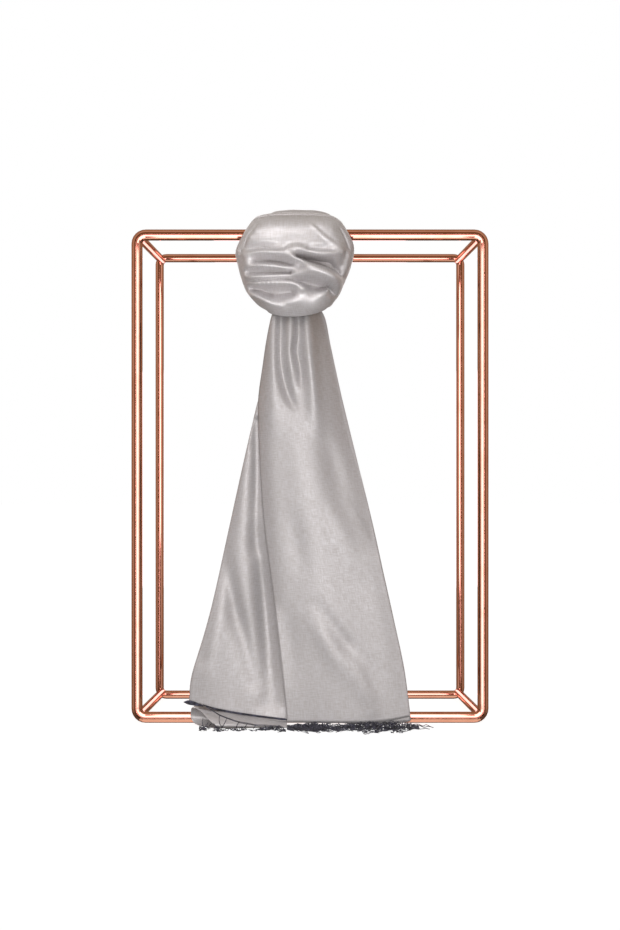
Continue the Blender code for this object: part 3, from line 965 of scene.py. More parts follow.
@dataclass
class Tail:
    """A hanging end, folded lengthwise in three, from inside the knot's neck to its hem.

    Args:
        name: the piece's name.
        table: its levels, from the top down.
        fold_side: the side on which its face turns over.
        hem_rise: how far the hem rises, from its left to its right end.
        folds: its creases and swells.
        hem_reach: height over which the hem's rise fades out.
        hidden_rise: how far the hidden layers end above the face, from the free edge to the fold.
        inset: how far the hidden layers stop short of the face's edges.
        wall: the cloth's thickness.
        layer_share: share of a third of the cut that a layer takes, the turned edge the rest.
        layer_columns: columns of points across each layer.
        turn_columns: columns round each turned edge.
        rows: rows of points.
    """

    name: str
    table: tuple[TailRow, ...]
    fold_side: Side
    hem_rise: tuple[float, ...]
    folds: tuple[FoldLine, ...]
    hem_reach: float = 150.0
    hidden_rise: tuple[float, ...] = (6.0, 6.0)
    inset: float = 4.0
    wall: float = 0.6
    layer_share: float = 0.98
    layer_columns: int = 62
    turn_columns: int = 7
    rows: int = 210

    def build(self) -> bpy.types.Object:
        """Fold the end and lay its creases.

        Returns:
            The end's shell, one sheet through all three layers.
        """
        levels = np.linspace(0.0, 1.0, self.rows)
        table = read_curve(np.array([row.row() for row in self.table]), levels)
        z, left, right, face, depth, bow = (column[:, None] for column in table.T)
        place, level, spread, follow = self._section()
        spacing = depth / 2.0
        span = right - left - spacing
        inset = self.inset / span
        place = place[None, :]
        u = np.clip(place, 0.0, 1.0)
        hidden = level[None, :] > 0.5
        low = np.where(hidden, inset, 0.0)
        high = np.where(level[None, :] > 1.5, 1.0 - inset, 1.0)
        u = low + (high - low) * u
        reach = spread[None, :] * spacing / 2.0
        if self.fold_side is Side.LEFT:
            u = 1.0 - u
            reach = -reach
        x = left + spacing / 2.0 + span * u + reach
        crown = 1.0 - (2.0 * u - 1.0) ** 2
        y = face + level[None, :] * spacing - bow * follow[None, :] * crown
        z_hem = self.table[-1].z
        near_hem = np.clip(1.0 - (z - z_hem) / self.hem_reach, 0.0, 1.0) ** 2
        rise = read_curve(np.array(self.hem_rise), u.ravel()).reshape(u.shape)
        tuck = np.interp(u, np.linspace(0.0, 1.0, len(self.hidden_rise)), self.hidden_rise)
        z = z + near_hem * (rise + tuck * np.minimum(level[None, :], 1.0))
        points = np.stack([x, np.broadcast_to(y, x.shape), z], axis=-1)
        for fold in self.folds:
            points[..., 1] -= fold.soft_height(x, z) * follow[None, :]
        return grid_object(self.name, points, self._cut(u, level, z), False, self.wall)

    def _section(self) -> tuple[Array, Array, Array, Array]:
        """Walk along the folded section, from the face to the rear layer.

        Returns:
            For each point: its place across its layer; its layer, which is 0 for the face, 1 for
            the hidden layer and 2 for the rear one; how far a turned edge stands out there; and
            how much of the face's relief it follows.
        """
        ahead = np.linspace(0.0, 1.0, self.layer_columns)
        turn = np.linspace(-0.5, 0.5, self.turn_columns + 2)[1:-1] * math.pi
        ones = np.ones(self.turn_columns)
        place = np.concatenate([ahead, ones, ahead[::-1], ones * 0.0, ahead])
        level = np.concatenate([
            ahead * 0.0, 0.5 + 0.5 * np.sin(turn), ahead * 0.0 + 1.0,
            1.5 + 0.5 * np.sin(turn), ahead * 0.0 + 2.0])
        reach = np.concatenate([
            ahead * 0.0, np.cos(turn), ahead * 0.0, -np.cos(turn), ahead * 0.0])
        follow = np.interp(level, (0.0, 1.0, 2.0), (1.0, 0.6, 0.3))
        return place, level, reach, follow

    def _cut(self, u: Array, level: Array, z: Array) -> Array:
        """Place every point on the flat cloth.

        Args:
            u: places across each layer.
            level: each column's layer.
            z: heights.

        Returns:
            Rows by columns by two, in metres.
        """
        across = (level[None, :] + u * self.layer_share) * STOLE_WIDTH_MM / FOLDED_IN
        return np.stack([np.broadcast_to(across, z.shape), z], axis=-1) * MM


def front_tail() -> Tail:
    """Set out the front hanging end, with the pleats that run down from the neck.

    Returns:
        The end, ready to build.
    """
    return Tail(
        name="front_tail_cloth",
        table=(
            TailRow(664.0, -56.0, 13.0, -50.0, 16.0, 5.0),
            TailRow(643.0, -65.0, 24.0, -51.0, 17.0, 7.0),
            TailRow(605.0, -73.0, 31.5, -52.0, 17.0, 7.0),
            TailRow(567.0, -78.5, 39.5, -51.0, 16.0, 6.0),
            TailRow(530.0, -83.5, 47.5, -50.0, 14.0, 5.0),
            TailRow(498.0, -85.0, 55.0, -49.0, 13.0, 5.0),
            TailRow(420.0, -82.0, 74.0, -48.0, 11.0, 4.0),
            TailRow(326.0, -75.7, 97.0, -47.0, 10.0, 4.0),
            TailRow(247.0, -65.5, 114.3, -47.0, 10.0, 3.0),
            TailRow(169.0, -55.3, 131.6, -47.0, 9.0, 3.0),
            TailRow(90.0, -46.6, 148.0, -47.0, 9.0, 3.0),
            TailRow(8.0, -38.0, 158.3, -47.0, 9.0, 3.0),
        ),
        fold_side=Side.RIGHT,
        hem_rise=(0.0, 0.0, 0.0, 0.0, 2.0, 9.0),
        hidden_rise=(3.0, 3.0, -2.0, -5.0, -8.5),
        folds=(
            FoldLine("left edge", ((-84, 664), (-92, 560), (-98, 500), (-95, 400), (-88, 300), (-76, 200)),
                     (-24, -24, -23, -18, -12, -8), (19, 20, 24)),
            FoldLine("left crest", ((-57, 664), (-59, 600), (-59, 530), (-56, 450)),
                     (5, 5, 4, 0), (11, 12, 18)),
            FoldLine("left groove", ((-43, 664), (-46, 610), (-45, 570), (-38, 535), (-30, 512), (-20, 498)),
                     (-8, -8, -7, -6, -4, 0), (8, 8, 6)),
            FoldLine("middle crest", ((-31, 664), (-31, 590), (-26, 520)), (5, 5, 0), (8, 10)),
            FoldLine("right groove", ((-19, 664), (-17, 620), (-20, 590), (-15, 560), (-14, 530)),
                     (-7, -7, -9, -6, 0), (7, 7, 8.5, 6, 4)),
            FoldLine("right crest", ((-4, 664), (-1, 597), (4, 545), (7, 505), (12, 450)),
                     (9, 9, 8, 6, 0), (11, 11, 14)),
            FoldLine("right flank",
                     ((27, 664), (46, 600), (60, 545), (72, 490), (88, 420), (108, 340), (124, 270)),
                     (-27, -27, -25, -23, -17, -9, 0), (28, 34, 40)),
            FoldLine("long crest", ((-30, 500), (-8, 400), (10, 280), (32, 150), (52, 20)),
                     (1, 5, 5, 5, 4), (26, 40, 50)),
            FoldLine("soft hollow", ((20, 480), (38, 405), (62, 310)), (0, -4, 0), (13, 20)),
            FoldLine("faint dent", ((-28, 350), (-20, 290), (-10, 230)), (0, -1.6, 0), (16, 14)),
            FoldLine("lower dent", ((-44, 200), (-34, 140), (-28, 60)), (0, -2, 0), (18, 16)),
            FoldLine("faint lift", ((56, 130), (78, 90), (96, 30)), (0, 3, 1), (16, 12)),
            FoldLine("slanting crest", ((28, 365), (52, 300), (86, 225)), (0, 2.2, 0), (14, 18)),
            FoldLine("slanting trough", ((6, 205), (42, 150), (80, 98), (100, 50)),
                     (0, -2.2, -2.2, 0), (10, 16)),
            FoldLine("slanting lower crest", ((-4, 190), (30, 130), (72, 60)), (0, 2, 0.5), (14, 18)),
            FoldLine("right edge", ((96, 320), (118, 230), (142, 120), (158, 20)),
                     (-1, -2, -2, -1), (14, 16)),
        ),
    )


def back_tail() -> Tail:
    """Set out the rear hanging end, which leans to the left behind the front one.

    Returns:
        The end, ready to build.
    """
    return Tail(
        name="back_tail_cloth",
        table=(
            TailRow(664.0, -52.0, 8.0, -27.0, 12.0, 2.0),
            TailRow(643.0, -60.0, 17.0, -27.5, 12.0, 2.0),
            TailRow(605.0, -66.0, 22.0, -28.0, 12.0, 2.0),
            TailRow(567.0, -71.0, 25.0, -29.0, 12.0, 2.0),
            TailRow(530.0, -78.0, 27.0, -30.0, 12.0, 2.0),
            TailRow(493.0, -87.3, 28.0, -31.0, 11.0, 2.0),
            TailRow(417.0, -104.7, 29.0, -31.5, 10.0, 2.0),
            TailRow(303.0, -130.0, 30.0, -31.5, 9.0, 2.0),
            TailRow(189.0, -155.3, 30.0, -31.5, 9.0, 2.0),
            TailRow(75.0, -185.3, 29.0, -31.5, 9.0, 2.0),
            TailRow(8.0, -191.0, 28.0, -31.5, 9.0, 2.0),
        ),
        fold_side=Side.LEFT,
        hem_rise=(31.0, 18.6, 10.5, 4.0, 0.0, 0.0),
        folds=(
            FoldLine("upright crest", ((-98, 500), (-103, 420), (-106, 330), (-106, 250), (-104, 180)),
                     (0, 3, 3, 1.5, 0), (13, 16, 22)),
            FoldLine("outer edge", ((-106, 430), (-130, 320), (-152, 210), (-172, 110)),
                     (-3, -4, -4, -2), (8, 14)),
            FoldLine("beside the crest", ((-84, 480), (-84, 380), (-88, 280)), (-4, -5, -3), (8, 10)),
            FoldLine("slanting hollow", ((-134, 290), (-120, 190), (-104, 135), (-88, 70)), (0, -6, -5, -2),
                     (10, 14, 12)),
            FoldLine("light triangle", ((-142, 230), (-152, 160), (-158, 90), (-160, 30)),
                     (0, 4, 4, 2), (16, 26)),
            FoldLine("beside the front end", ((-84, 330), (-78, 260), (-72, 200), (-66, 130), (-60, 40)),
                     (0, -8, -13, -12, -5), (12, 15, 18)),
        ),
    )


@dataclass(frozen=True)
class CurlPoint:
    """A point of the curl's section: its depth, height and the place of the cut edge across."""

    depth: float
    up: float
    cut_edge: float


@dataclass
class UnderLayer:
    """The rear end's longest layer, which meets the floor and curls under itself.

    Args:
        section: its section at the open left end, from behind to the curl's end.
        right: where it ends, behind the front end's edge.
        heights: share of the section's height, from its left to its right end.
        narrowing: share of its depth lost towards the right.
        unrolls: share of its section lost towards the right.
        wall: the cloth's thickness.
        rows: rows of points across.
        columns: columns along the section.
        rest: height at which the cloth lies on the floor.
        ripple: its slight ripples, where it is off the floor.
    """

    section: tuple[CurlPoint, ...] = (
        CurlPoint(-14.0, 46.0, -168.0),
        CurlPoint(-17.0, 39.0, -173.0),
        CurlPoint(-20.0, 33.5, -180.0),
        CurlPoint(-27.0, 30.0, -184.0),
        CurlPoint(-35.0, 29.0, -186.0),
        CurlPoint(-43.0, 29.5, -185.0),
        CurlPoint(-51.0, 30.0, -178.0),
        CurlPoint(-61.0, 24.5, -167.0),
        CurlPoint(-68.0, 14.0, -155.5),
        CurlPoint(-69.0, 6.0, -145.5),
        CurlPoint(-62.0, 1.4, -142.0),
        CurlPoint(-50.0, 1.2, -162.0),
        CurlPoint(-38.0, 3.5, -178.5),
        CurlPoint(-31.0, 9.0, -186.5),
        CurlPoint(-29.0, 15.5, -189.0),
        CurlPoint(-31.0, 22.5, -188.0),
        CurlPoint(-36.0, 27.6, -187.0),
        CurlPoint(-43.0, 29.0, -185.0),
    )
    right: float = -36.0
    heights: tuple[float, ...] = (1.0, 0.8, 0.6, 0.42, 0.24)
    narrowing: float = 0.2
    unrolls: float = 0.4
    wall: float = 0.6
    rows: int = 110
    columns: int = 150
    rest: float = 1.0
    ripple: Ripple = Ripple(0.5, 9.0, 15.0)

    def build(self) -> bpy.types.Object:
        """Sweep the curl's section towards the right.

        Returns:
            The layer's shell.
        """
        along = np.linspace(0.0, 1.0, self.rows)[:, None]
        t = np.linspace(0.0, 1.0, self.columns)[None, :] * (1.0 - self.unrolls * along)
        table = np.array([astuple(point) for point in self.section])
        depth, up, left = np.moveaxis(read_curve(table, t.ravel()).reshape(*t.shape, 3), -1, 0)
        height = read_curve(np.array(self.heights), along.ravel())
        back = self.section[0].depth
        x = left + (self.right - left) * along
        y = back + (depth - back) * (1.0 - self.narrowing * along)
        z = self.rest + np.maximum(up - self.rest, 0.0) * height
        z += self.ripple.at(x, y) * fade(z, 3.0, 10.0)
        points = np.stack([x, y, z], axis=-1)
        return grid_object("under_layer_cloth", points, flat_cut(points, False), False, self.wall)


# ---------------------------------------------------------------------------------------------
# The fringe
# ---------------------------------------------------------------------------------------------

def tube_mesh(name: str, paths: list[Array], radii: list[float], sides: int) -> bpy.types.Object:
    """Join many thin tubes into one mesh.

    Args:
        name: the piece's name.
        paths: each tube's points, in millimetres.
        radii: each tube's radius, in millimetres.
        sides: number of sides of each tube.

    Returns:
        The linked object.
    """
    vertices: list[Array] = []
    faces: list[Array] = []
    start = 0
    turn = 2.0 * math.pi * np.arange(sides) / sides
    for path, radius in zip(paths, radii):
        along = np.gradient(path, axis=0)
        along /= np.maximum(np.linalg.norm(along, axis=1, keepdims=True), 1e-9)
        side = np.cross(along, (0.0, 0.0, 1.0))
        side /= np.maximum(np.linalg.norm(side, axis=1, keepdims=True), 1e-3)
        over = np.cross(side, along)
        aside = side[:, None] * np.cos(turn)[None, :, None]
        ring = aside + over[:, None] * np.sin(turn)[None, :, None]
        vertices.append((path[:, None] + ring * radius).reshape(-1, 3))
        index = start + np.arange(len(path) * sides).reshape(len(path), sides)
        after = np.roll(index, -1, axis=1)
        faces.append(np.stack([index[:-1], after[:-1], after[1:], index[1:]], axis=-1).reshape(-1, 4))
        start += len(path) * sides
    mesh = bpy.data.meshes.new(name)
    mesh.from_pydata((np.concatenate(vertices) * MM).tolist(), [], np.concatenate(faces).tolist())
    mesh.shade_smooth()
    item = bpy.data.objects.new(name, mesh)
    bpy.context.scene.collection.objects.link(item)
    return item


@dataclass(frozen=True)
class Heap:
    """A place along the fringe's heap on the floor: its reach to the front, height and density."""

    x: float
    front: float
    height: float
    density: float


@dataclass(frozen=True)
class Strand:
    """A strand placed in front of the cloth, as places across and up with its depth."""

    depth: float
    points: tuple[tuple[float, float], ...]


@dataclass
class Fringe:
    """A netted fringe of loose yarn, heaped on the floor in front of its hem.

    Args:
        name: the piece's name.
        seed: seed of the tangle.
        hem_y: depth of the hem that it hangs from.
        heap: the heap's places from left to right.
        placed: strands of the net that show one by one.
        strands: number of loose strands in the heap.
        steps: number of points along a loose strand.
        step: distance between them.
        bend: how sharply a loose strand wanders, in radians a step.
        radius: a strand's usual radius.
        thinnest: the thinnest strand's share of it.
        thickest: the thickest strand's share of it.
        sides: number of sides of a strand.
        blur: number of steps over which the wandering is evened out.
        swerve: by how much it is strengthened again.
        reach_least: least share of the heap's reach that a strand takes.
        reach_more: how much more the furthest strand takes.
        reach_bias: power that makes far strands rarer.
        start_most: furthest share of its reach at which a strand starts.
        wave_gain: how quickly a strand rises over others.
        wave_cut: how much of its length stays low.
        front_fall: share of the height lost at the heap's front.
        floor_gap: gap between the lowest strand and the floor.
    """

    name: str
    seed: int
    hem_y: float
    heap: tuple[Heap, ...]
    placed: tuple[Strand, ...] = ()
    strands: int = 120
    steps: int = 44
    step: float = 2.3
    bend: float = 0.75
    radius: float = 0.52
    thinnest: float = 0.75
    thickest: float = 1.2
    sides: int = 5
    blur: int = 5
    swerve: float = 2.2
    reach_least: float = 0.4
    reach_more: float = 0.75
    reach_bias: float = 1.6
    start_most: float = 0.7
    wave_gain: float = 2.2
    wave_cut: float = 0.6
    front_fall: float = 0.75
    floor_gap: float = 0.3

    def build(self) -> bpy.types.Object:
        """Lay the loose strands over the heap, more where it is denser, and hang the placed ones.

        Returns:
            Every strand, joined.
        """
        dice = np.random.default_rng(self.seed)
        xs = np.array([place.x for place in self.heap])
        along = np.linspace(xs[0], xs[-1], 200)
        share = np.cumsum(np.interp(along, xs, [place.density for place in self.heap]))
        roots = np.interp(dice.uniform(0.0, share[-1], self.strands), share, along)
        paths = [self._loose(dice, root) for root in roots]
        paths += [self._hung(strand) for strand in self.placed]
        radii = [self.radius * dice.uniform(self.thinnest, self.thickest) for _ in paths]
        return tube_mesh(self.name, paths, radii, self.sides)

    def _even(self, values: Array) -> Array:
        """Return a running mean of the values."""
        return np.convolve(values, np.ones(self.blur) / self.blur, "same")

    def _loose(self, dice: np.random.Generator, x: float) -> Array:
        """Let a strand wander over the heap, folded back at its reach and at its ends.

        Args:
            dice: the fringe's own random numbers.
            x: where at the hem it starts.

        Returns:
            The strand's points.
        """
        xs = [place.x for place in self.heap]
        turns = self._even(dice.normal(0.0, self.bend, self.steps)) * self.swerve
        heading = dice.uniform(-0.5, 0.5) * math.pi + np.cumsum(turns)
        px = x + np.cumsum(np.sin(heading)) * self.step
        px = xs[0] + np.abs(px - xs[0])
        px = xs[-1] - np.abs(xs[-1] - px)
        reach = self.reach_least + self.reach_more * dice.uniform() ** self.reach_bias
        height = np.interp(px, xs, [place.height for place in self.heap])
        depth = reach * (self.hem_y - np.interp(px, xs, [place.front for place in self.heap]))
        start = dice.uniform(0.0, self.start_most) * depth
        swing = np.cumsum(np.cos(heading)) * self.step + start
        fold = np.abs(swing) % (2.0 * depth)
        out = np.where(fold > depth, 2.0 * depth - fold, fold)
        py = self.hem_y - out
        spare = self.blur - 1
        waves = self._even(dice.uniform(0.0, 1.0, self.steps + 2 * spare))[spare:-spare]
        lift = height * np.clip(waves * self.wave_gain - self.wave_cut, 0.0, 1.0)
        pz = self.radius + self.floor_gap + lift * (1.0 - self.front_fall * out / depth)
        return np.stack([px, py, pz], axis=-1)

    def _hung(self, strand: Strand) -> Array:
        """Hang a strand of the net along its placed points.

        Args:
            strand: the strand.

        Returns:
            The strand's points, about 2 mm apart.
        """
        corners = np.array(strand.points, dtype=float)
        length = float(np.linalg.norm(np.diff(corners, axis=0), axis=1).sum())
        line = read_curve(corners, np.linspace(0.0, 1.0, max(4, int(length / 2.0))))
        depth = np.full(len(line), strand.depth)
        return np.stack([line[:, 0], depth, line[:, 1]], axis=-1)


def net_over_curl() -> tuple[Strand, ...]:
    """Place the strands of the net that show one by one over the curl.

    Returns:
        The knotted heading under the hem, whose five stacked dark strands also stand in for the
        shadow line under the hem as painted shade; the net's long line with the drops that hang
        from it; and the rolled corner.
    """
    line = ((-163, 38), (-159, 35.5), (-150, 30), (-141, 24.3), (-129, 19.5), (-112, 13.6), (-96, 10.7),
            (-84, 8.5), (-70, 8), (-56, 7), (-42, 5))
    drops = (
        ((-140, 24), (-141, 17), (-140, 10), (-136, 4)), ((-129, 19), (-132, 12), (-136, 5)),
        ((-110, 13.5), (-113, 8), (-115, 3)), ((-97, 11), (-100, 6), (-102, 3)),
        ((-84, 9), (-86, 5), (-88, 2)), ((-70, 8), (-69, 5), (-66, 2)),
        ((-166, 19), (-167, 12), (-165, 4)), ((-158, 12), (-161, 8), (-166, 3)),
        ((-153, 10), (-157, 6), (-155, 2)), ((-150, 11), (-146, 6), (-149, 2)),
    )
    corner = tuple(
        ((-199 + 0.3 * abs(k), 38.5 + 0.15 * k), (-192, 38 + 0.5 * k), (-184, 36.5 + 0.5 * k),
         (-176, 34.5 + 0.3 * k), (-168, 32.5 + 0.1 * k))
        for k in range(-6, 7))
    # painted shade: the heading is five stacked dark strands laid along the hem; they stand in for the
    # shadow line under the hem as well as for the knots
    heading = ((-168, 35), (-155, 31), (-142, 27.8), (-128, 25), (-112, 22.2), (-96, 19.8), (-80, 17.6),
               (-62, 15.4), (-48, 13.6), (-36, 12.2))
    knotted = tuple(
        tuple((x, z - 0.5 * k) for x, z in heading[(k > 2):])
        for k in range(5))
    return (
        # the heading's strands: knots, and painted shadow under the hem
        *(Strand(-40.0 + 1.0 * (i % 2), path) for i, path in enumerate(knotted)),
        Strand(-71.0, line),
        Strand(-71.5, tuple((x + 1.5, z - 1.6) for x, z in line)),
        *(Strand(-72.0, drop) for drop in drops),
        *(Strand(-37.0 - 0.5 * (i % 3), path) for i, path in enumerate(corner)),
    )


def front_fringe() -> Fringe:
    """Set out the front end's fringe, with a few wisps past its right corner.

    Returns:
        The fringe, ready to build.
    """
    return Fringe(
        name="front_fringe_net",
        seed=11,
        hem_y=-52.0,
        heap=(
            Heap(-36.0, -76.0, 5.0, 0.8),
            Heap(-10.0, -100.0, 9.0, 1.6),
            Heap(30.0, -130.0, 9.0, 2.0),
            Heap(70.0, -116.0, 9.0, 2.0),
            Heap(110.0, -110.0, 10.0, 2.0),
            Heap(145.0, -102.0, 13.0, 1.8),
            Heap(170.0, -84.0, 5.0, 0.8),
        ),
        placed=(
            Strand(-56.0, ((160, 4), (170, 5), (178, 2), (185, 3.5), (193, 1.5))),
            Strand(-62.0, ((158, 7), (168, 8), (176, 5), (181, 7), (188, 4))),
            Strand(-70.0, ((162, 2), (171, 1.5), (180, 2.5), (186, 1.2))),
        ),
        strands=125,
    )


def back_fringe() -> Fringe:
    """Set out the rear end's fringe, which gathers in clumps under the curl.

    Returns:
        The fringe, ready to build.
    """
    return Fringe(
        name="back_fringe_net",
        seed=23,
        hem_y=-72.0,
        heap=(
            Heap(-172.0, -86.0, 6.0, 1.6),
            Heap(-163.0, -104.0, 9.0, 3.0),
            Heap(-153.0, -88.0, 3.0, 0.5),
            Heap(-144.0, -112.0, 7.0, 3.0),
            Heap(-132.0, -84.0, 3.0, 0.4),
            Heap(-112.0, -104.0, 6.0, 2.6),
            Heap(-98.0, -84.0, 3.0, 0.4),
            Heap(-72.0, -88.0, 4.0, 1.0),
            Heap(-52.0, -106.0, 8.0, 2.8),
            Heap(-36.0, -92.0, 5.0, 1.4),
        ),
        placed=net_over_curl(),
        strands=34,
        steps=30,
        step=1.7,
        bend=1.1,
    )


# ---------------------------------------------------------------------------------------------
# The stand
# ---------------------------------------------------------------------------------------------

@dataclass
class DisplayStand:
    """The tubular stand, as packed, in its plated finish."""

    nodes: tuple[str, ...] = (
        "front_hoop", "back_hoop",
        "rail_top_left", "rail_top_right", "rail_bottom_left", "rail_bottom_right")

    def dress(self, frame: dict, finish: bpy.types.Material) -> list[bpy.types.Object]:
        """Give every tube its plated finish.

        Args:
            frame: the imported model.
            finish: the plating.

        Returns:
            The tubes.
        """
        tubes = [frame["nodes"][node] for node in self.nodes]
        for tube in tubes:
            for slot in tube.material_slots:
                slot.material = finish
            LOG.info("%s: plated", tube.name)
        return tubes


# ---------------------------------------------------------------------------------------------
# The studio
# ---------------------------------------------------------------------------------------------

class LitGroup(Enum):
    """The pieces that share a set of lights."""

    STAND = "stand"
    KNOT = "knot"
    ENDS = "hanging ends"


@dataclass(frozen=True)
class SoftBox:
    """A soft box.

    Args:
        name: what it is for.
        lights: the pieces that it lights.
        place: its place, with the depth from the front hoop's plane.
        target: where it points.
        size: its width and height.
        power: its strength in watts.
        colour: its light's colour.
    """

    name: str
    lights: LitGroup
    place: tuple[float, float, float]
    target: tuple[float, float, float]
    size: tuple[float, float]
    power: float
    colour: str = "FFFFFF"


@dataclass(frozen=True)
class MirroredStop:
    """What smooth pieces mirror from one band of the room.

    Args:
        place: where the band is, from 0 behind the set to 1 in front of it.
        red: how much red it sends.
        green: how much green.
        blue: how much blue.
    """

    place: float
    red: float
    green: float
    blue: float


def soft_range(
    tree: bpy.types.NodeTree,
    value: bpy.types.NodeSocket,
    start: tuple[float, float],
    end: tuple[float, float],
) -> bpy.types.NodeSocket:
    """Turn one range of a value smoothly into another.

    Args:
        tree: node tree to add to.
        value: the value.
        start: its range.
        end: what that range turns into.

    Returns:
        The new value.
    """
    turned = add_node(
        tree, "ShaderNodeMapRange", {"interpolation_type": "SMOOTHSTEP"},
        {"From Min": start[0], "From Max": start[1], "To Min": end[0], "To Max": end[1]},
        {"Value": value})
    return turned.outputs[0]


@dataclass
class Studio:
    """Camera, floor and soft light.

    Args:
        rail_y: depth of the front hoop's plane in the row's frame, in millimetres.
        distance: from the camera to that plane.
        eye_height: the camera's height.
        framed_height: height that the view takes in at that plane.
        sensor: height of the camera's sensor.
        rise: the lens's shift, as a share of the view's height.
        floor_glow: how brightly the floor shines of itself, which keeps it even.
        ahead_light: the surround's strength in front of the set.
        behind_light: its strength behind the set.
        above_share: share of the light that comes from above.
        below_share: share of it that comes from below.
        overhead_share: share of it that comes from straight overhead.
        aside_share: share of it that comes from the sides.
        mirrored_stops: bands of the room that smooth pieces mirror.
        mirrored_below: how bright the bands are below the set.
        boxes: the soft boxes.
    """

    rail_y: float
    distance: float = 2400.0
    eye_height: float = 390.0
    framed_height: float = 1488.0
    sensor: float = 36.0
    rise: float = 0.015
    floor_glow: float = 0.9
    ahead_light: float = 0.3
    behind_light: float = 0.15
    above_share: float = 1.15
    below_share: float = 0.2
    overhead_share: float = 0.7
    aside_share: float = 0.3
    mirrored_stops: tuple[MirroredStop, ...] = (
        MirroredStop(0.0, 0.42, 0.27, 0.18),
        MirroredStop(0.13, 0.36, 0.25, 0.17),
        MirroredStop(0.3, 0.4, 0.31, 0.21),
        MirroredStop(0.42, 0.5, 0.41, 0.3),
        MirroredStop(0.6, 0.5, 0.42, 0.34),
        MirroredStop(0.7, 0.66, 0.58, 0.54),
        MirroredStop(0.79, 0.95, 0.86, 0.9),
        MirroredStop(0.86, 0.2, 0.12, 0.05),
        MirroredStop(0.96, 0.2, 0.12, 0.05),
        MirroredStop(1.0, 0.36, 0.3, 0.28),
    )
    mirrored_below: float = 0.25
    boxes: tuple[SoftBox, ...] = (
        SoftBox("panel", LitGroup.STAND, (0.0, -600.0, 390.0), (0.0, 0.0, 390.0),
                (690.0, 930.0), 9.5, "FFE2F8"),
        SoftBox("rear panel", LitGroup.STAND, (0.0, 1500.0, 390.0), (0.0, 0.0, 390.0),
                (500.0, 560.0), 2.4, "FFF0FF"),
        SoftBox("below", LitGroup.STAND, (0.0, -300.0, -900.0), (0.0, 100.0, 0.0),
                (1800.0, 1200.0), 7.0),
        SoftBox("knot key", LitGroup.KNOT, (-700.0, -1900.0, 2400.0), (0.0, 0.0, 600.0),
                (2000.0, 1700.0), 38.0),
        SoftBox("knot front", LitGroup.KNOT, (-100.0, -2500.0, 300.0), (0.0, 0.0, 500.0),
                (2000.0, 1000.0), 7.0),
        SoftBox("knot bounce", LitGroup.KNOT, (0.0, -1300.0, 60.0), (0.0, 0.0, 650.0),
                (1800.0, 300.0), 18.0),
        SoftBox("knot rear", LitGroup.KNOT, (0.0, 2500.0, 1500.0), (0.0, 0.0, 500.0),
                (2600.0, 1800.0), 34.0),
        SoftBox("key", LitGroup.ENDS, (-1050.0, -1900.0, 2200.0), (0.0, 0.0, 400.0),
                (1500.0, 1300.0), 21.0),
        SoftBox("front", LitGroup.ENDS, (60.0, -2500.0, 330.0), (60.0, 0.0, 200.0),
                (1200.0, 850.0), 24.5),
        SoftBox("rear", LitGroup.ENDS, (0.0, 2500.0, 1500.0), (0.0, 0.0, 500.0),
                (2600.0, 1800.0), 34.0),
    )

    def build(
        self,
        stand: list[bpy.types.Object],
        knot: list[bpy.types.Object],
        ends: list[bpy.types.Object],
    ) -> None:
        """Add the camera, the floor, the surround and the lights.

        Args:
            stand: the tubes.
            knot: the pieces of the knot.
            ends: the hanging ends and their fringes.
        """
        self._camera()
        self._floor()
        self._surround()
        pieces = {LitGroup.STAND: stand, LitGroup.KNOT: knot, LitGroup.ENDS: ends}
        for group, lit in pieces.items():
            linked = bpy.data.collections.new(f"lit with the {group.value}")
            for piece in lit:
                linked.objects.link(piece)
            for box in self.boxes:
                if box.lights is group:
                    self._soft_box(box).light_linking.receiver_collection = linked

    def _camera(self) -> None:
        """Add the camera, square to the stand at its middle height."""
        data = bpy.data.cameras.new("camera")
        data.sensor_fit = "VERTICAL"
        data.sensor_height = self.sensor
        data.lens = self.sensor * self.distance / self.framed_height
        data.shift_y = self.rise
        camera = bpy.data.objects.new("camera", data)
        camera.location = (0.0, (self.rail_y - self.distance) * MM, self.eye_height * MM)
        camera.rotation_euler = (math.pi / 2.0, 0.0, 0.0)
        bpy.context.scene.collection.objects.link(camera)
        bpy.context.scene.camera = camera

    def _floor(self) -> None:
        """Add a plain white floor, which the satin and the plating don't mirror."""
        half = 20.0         # metres, past the edges of any view
        mesh = bpy.data.meshes.new("floor")
        mesh.from_pydata(
            [(-half, -half, 0.0), (half, -half, 0.0), (half, half, 0.0), (-half, half, 0.0)],
            [], [(0, 1, 2, 3)])
        floor = bpy.data.objects.new("floor", mesh)
        floor.location.z = -0.2 * MM
        floor.visible_glossy = False
        floor.visible_diffuse = False
        floor.visible_shadow = False
        material, _, shader = new_material("white paper sweep")
        shader.inputs["Base Color"].default_value = linear("E8E8E8")
        shader.inputs["Roughness"].default_value = 0.9
        shader.inputs["Specular IOR Level"].default_value = 0.0
        shader.inputs["Emission Color"].default_value = linear("FFFFFF")
        shader.inputs["Emission Strength"].default_value = self.floor_glow
        mesh.materials.append(material)
        bpy.context.scene.collection.objects.link(floor)

    def _surround(self) -> None:
        """Light the set from a surround that is bright above and in front, and shows as white."""
        scene = bpy.context.scene
        scene.view_settings.view_transform = "Standard"
        world = bpy.data.worlds.new("surround")
        world.use_nodes = True
        tree = world.node_tree
        way = add_node(tree, "ShaderNodeTexCoord").outputs["Generated"]
        axes = add_node(tree, "ShaderNodeSeparateXYZ", links={0: way})
        path = add_node(tree, "ShaderNodeLightPath")
        seen = add_node(
            tree, "ShaderNodeMix", {"data_type": "VECTOR"},
            links={0: path.outputs["Is Glossy Ray"], 4: self._soft_light(tree, axes),
                   5: self._mirrored_room(tree, axes)})
        shown = add_node(
            tree, "ShaderNodeVectorMath", {"operation": "MAXIMUM"},
            links={0: seen.outputs[1], 1: path.outputs["Is Camera Ray"]})
        tree.links.new(shown.outputs[0], tree.nodes["Background"].inputs["Color"])
        scene.world = world

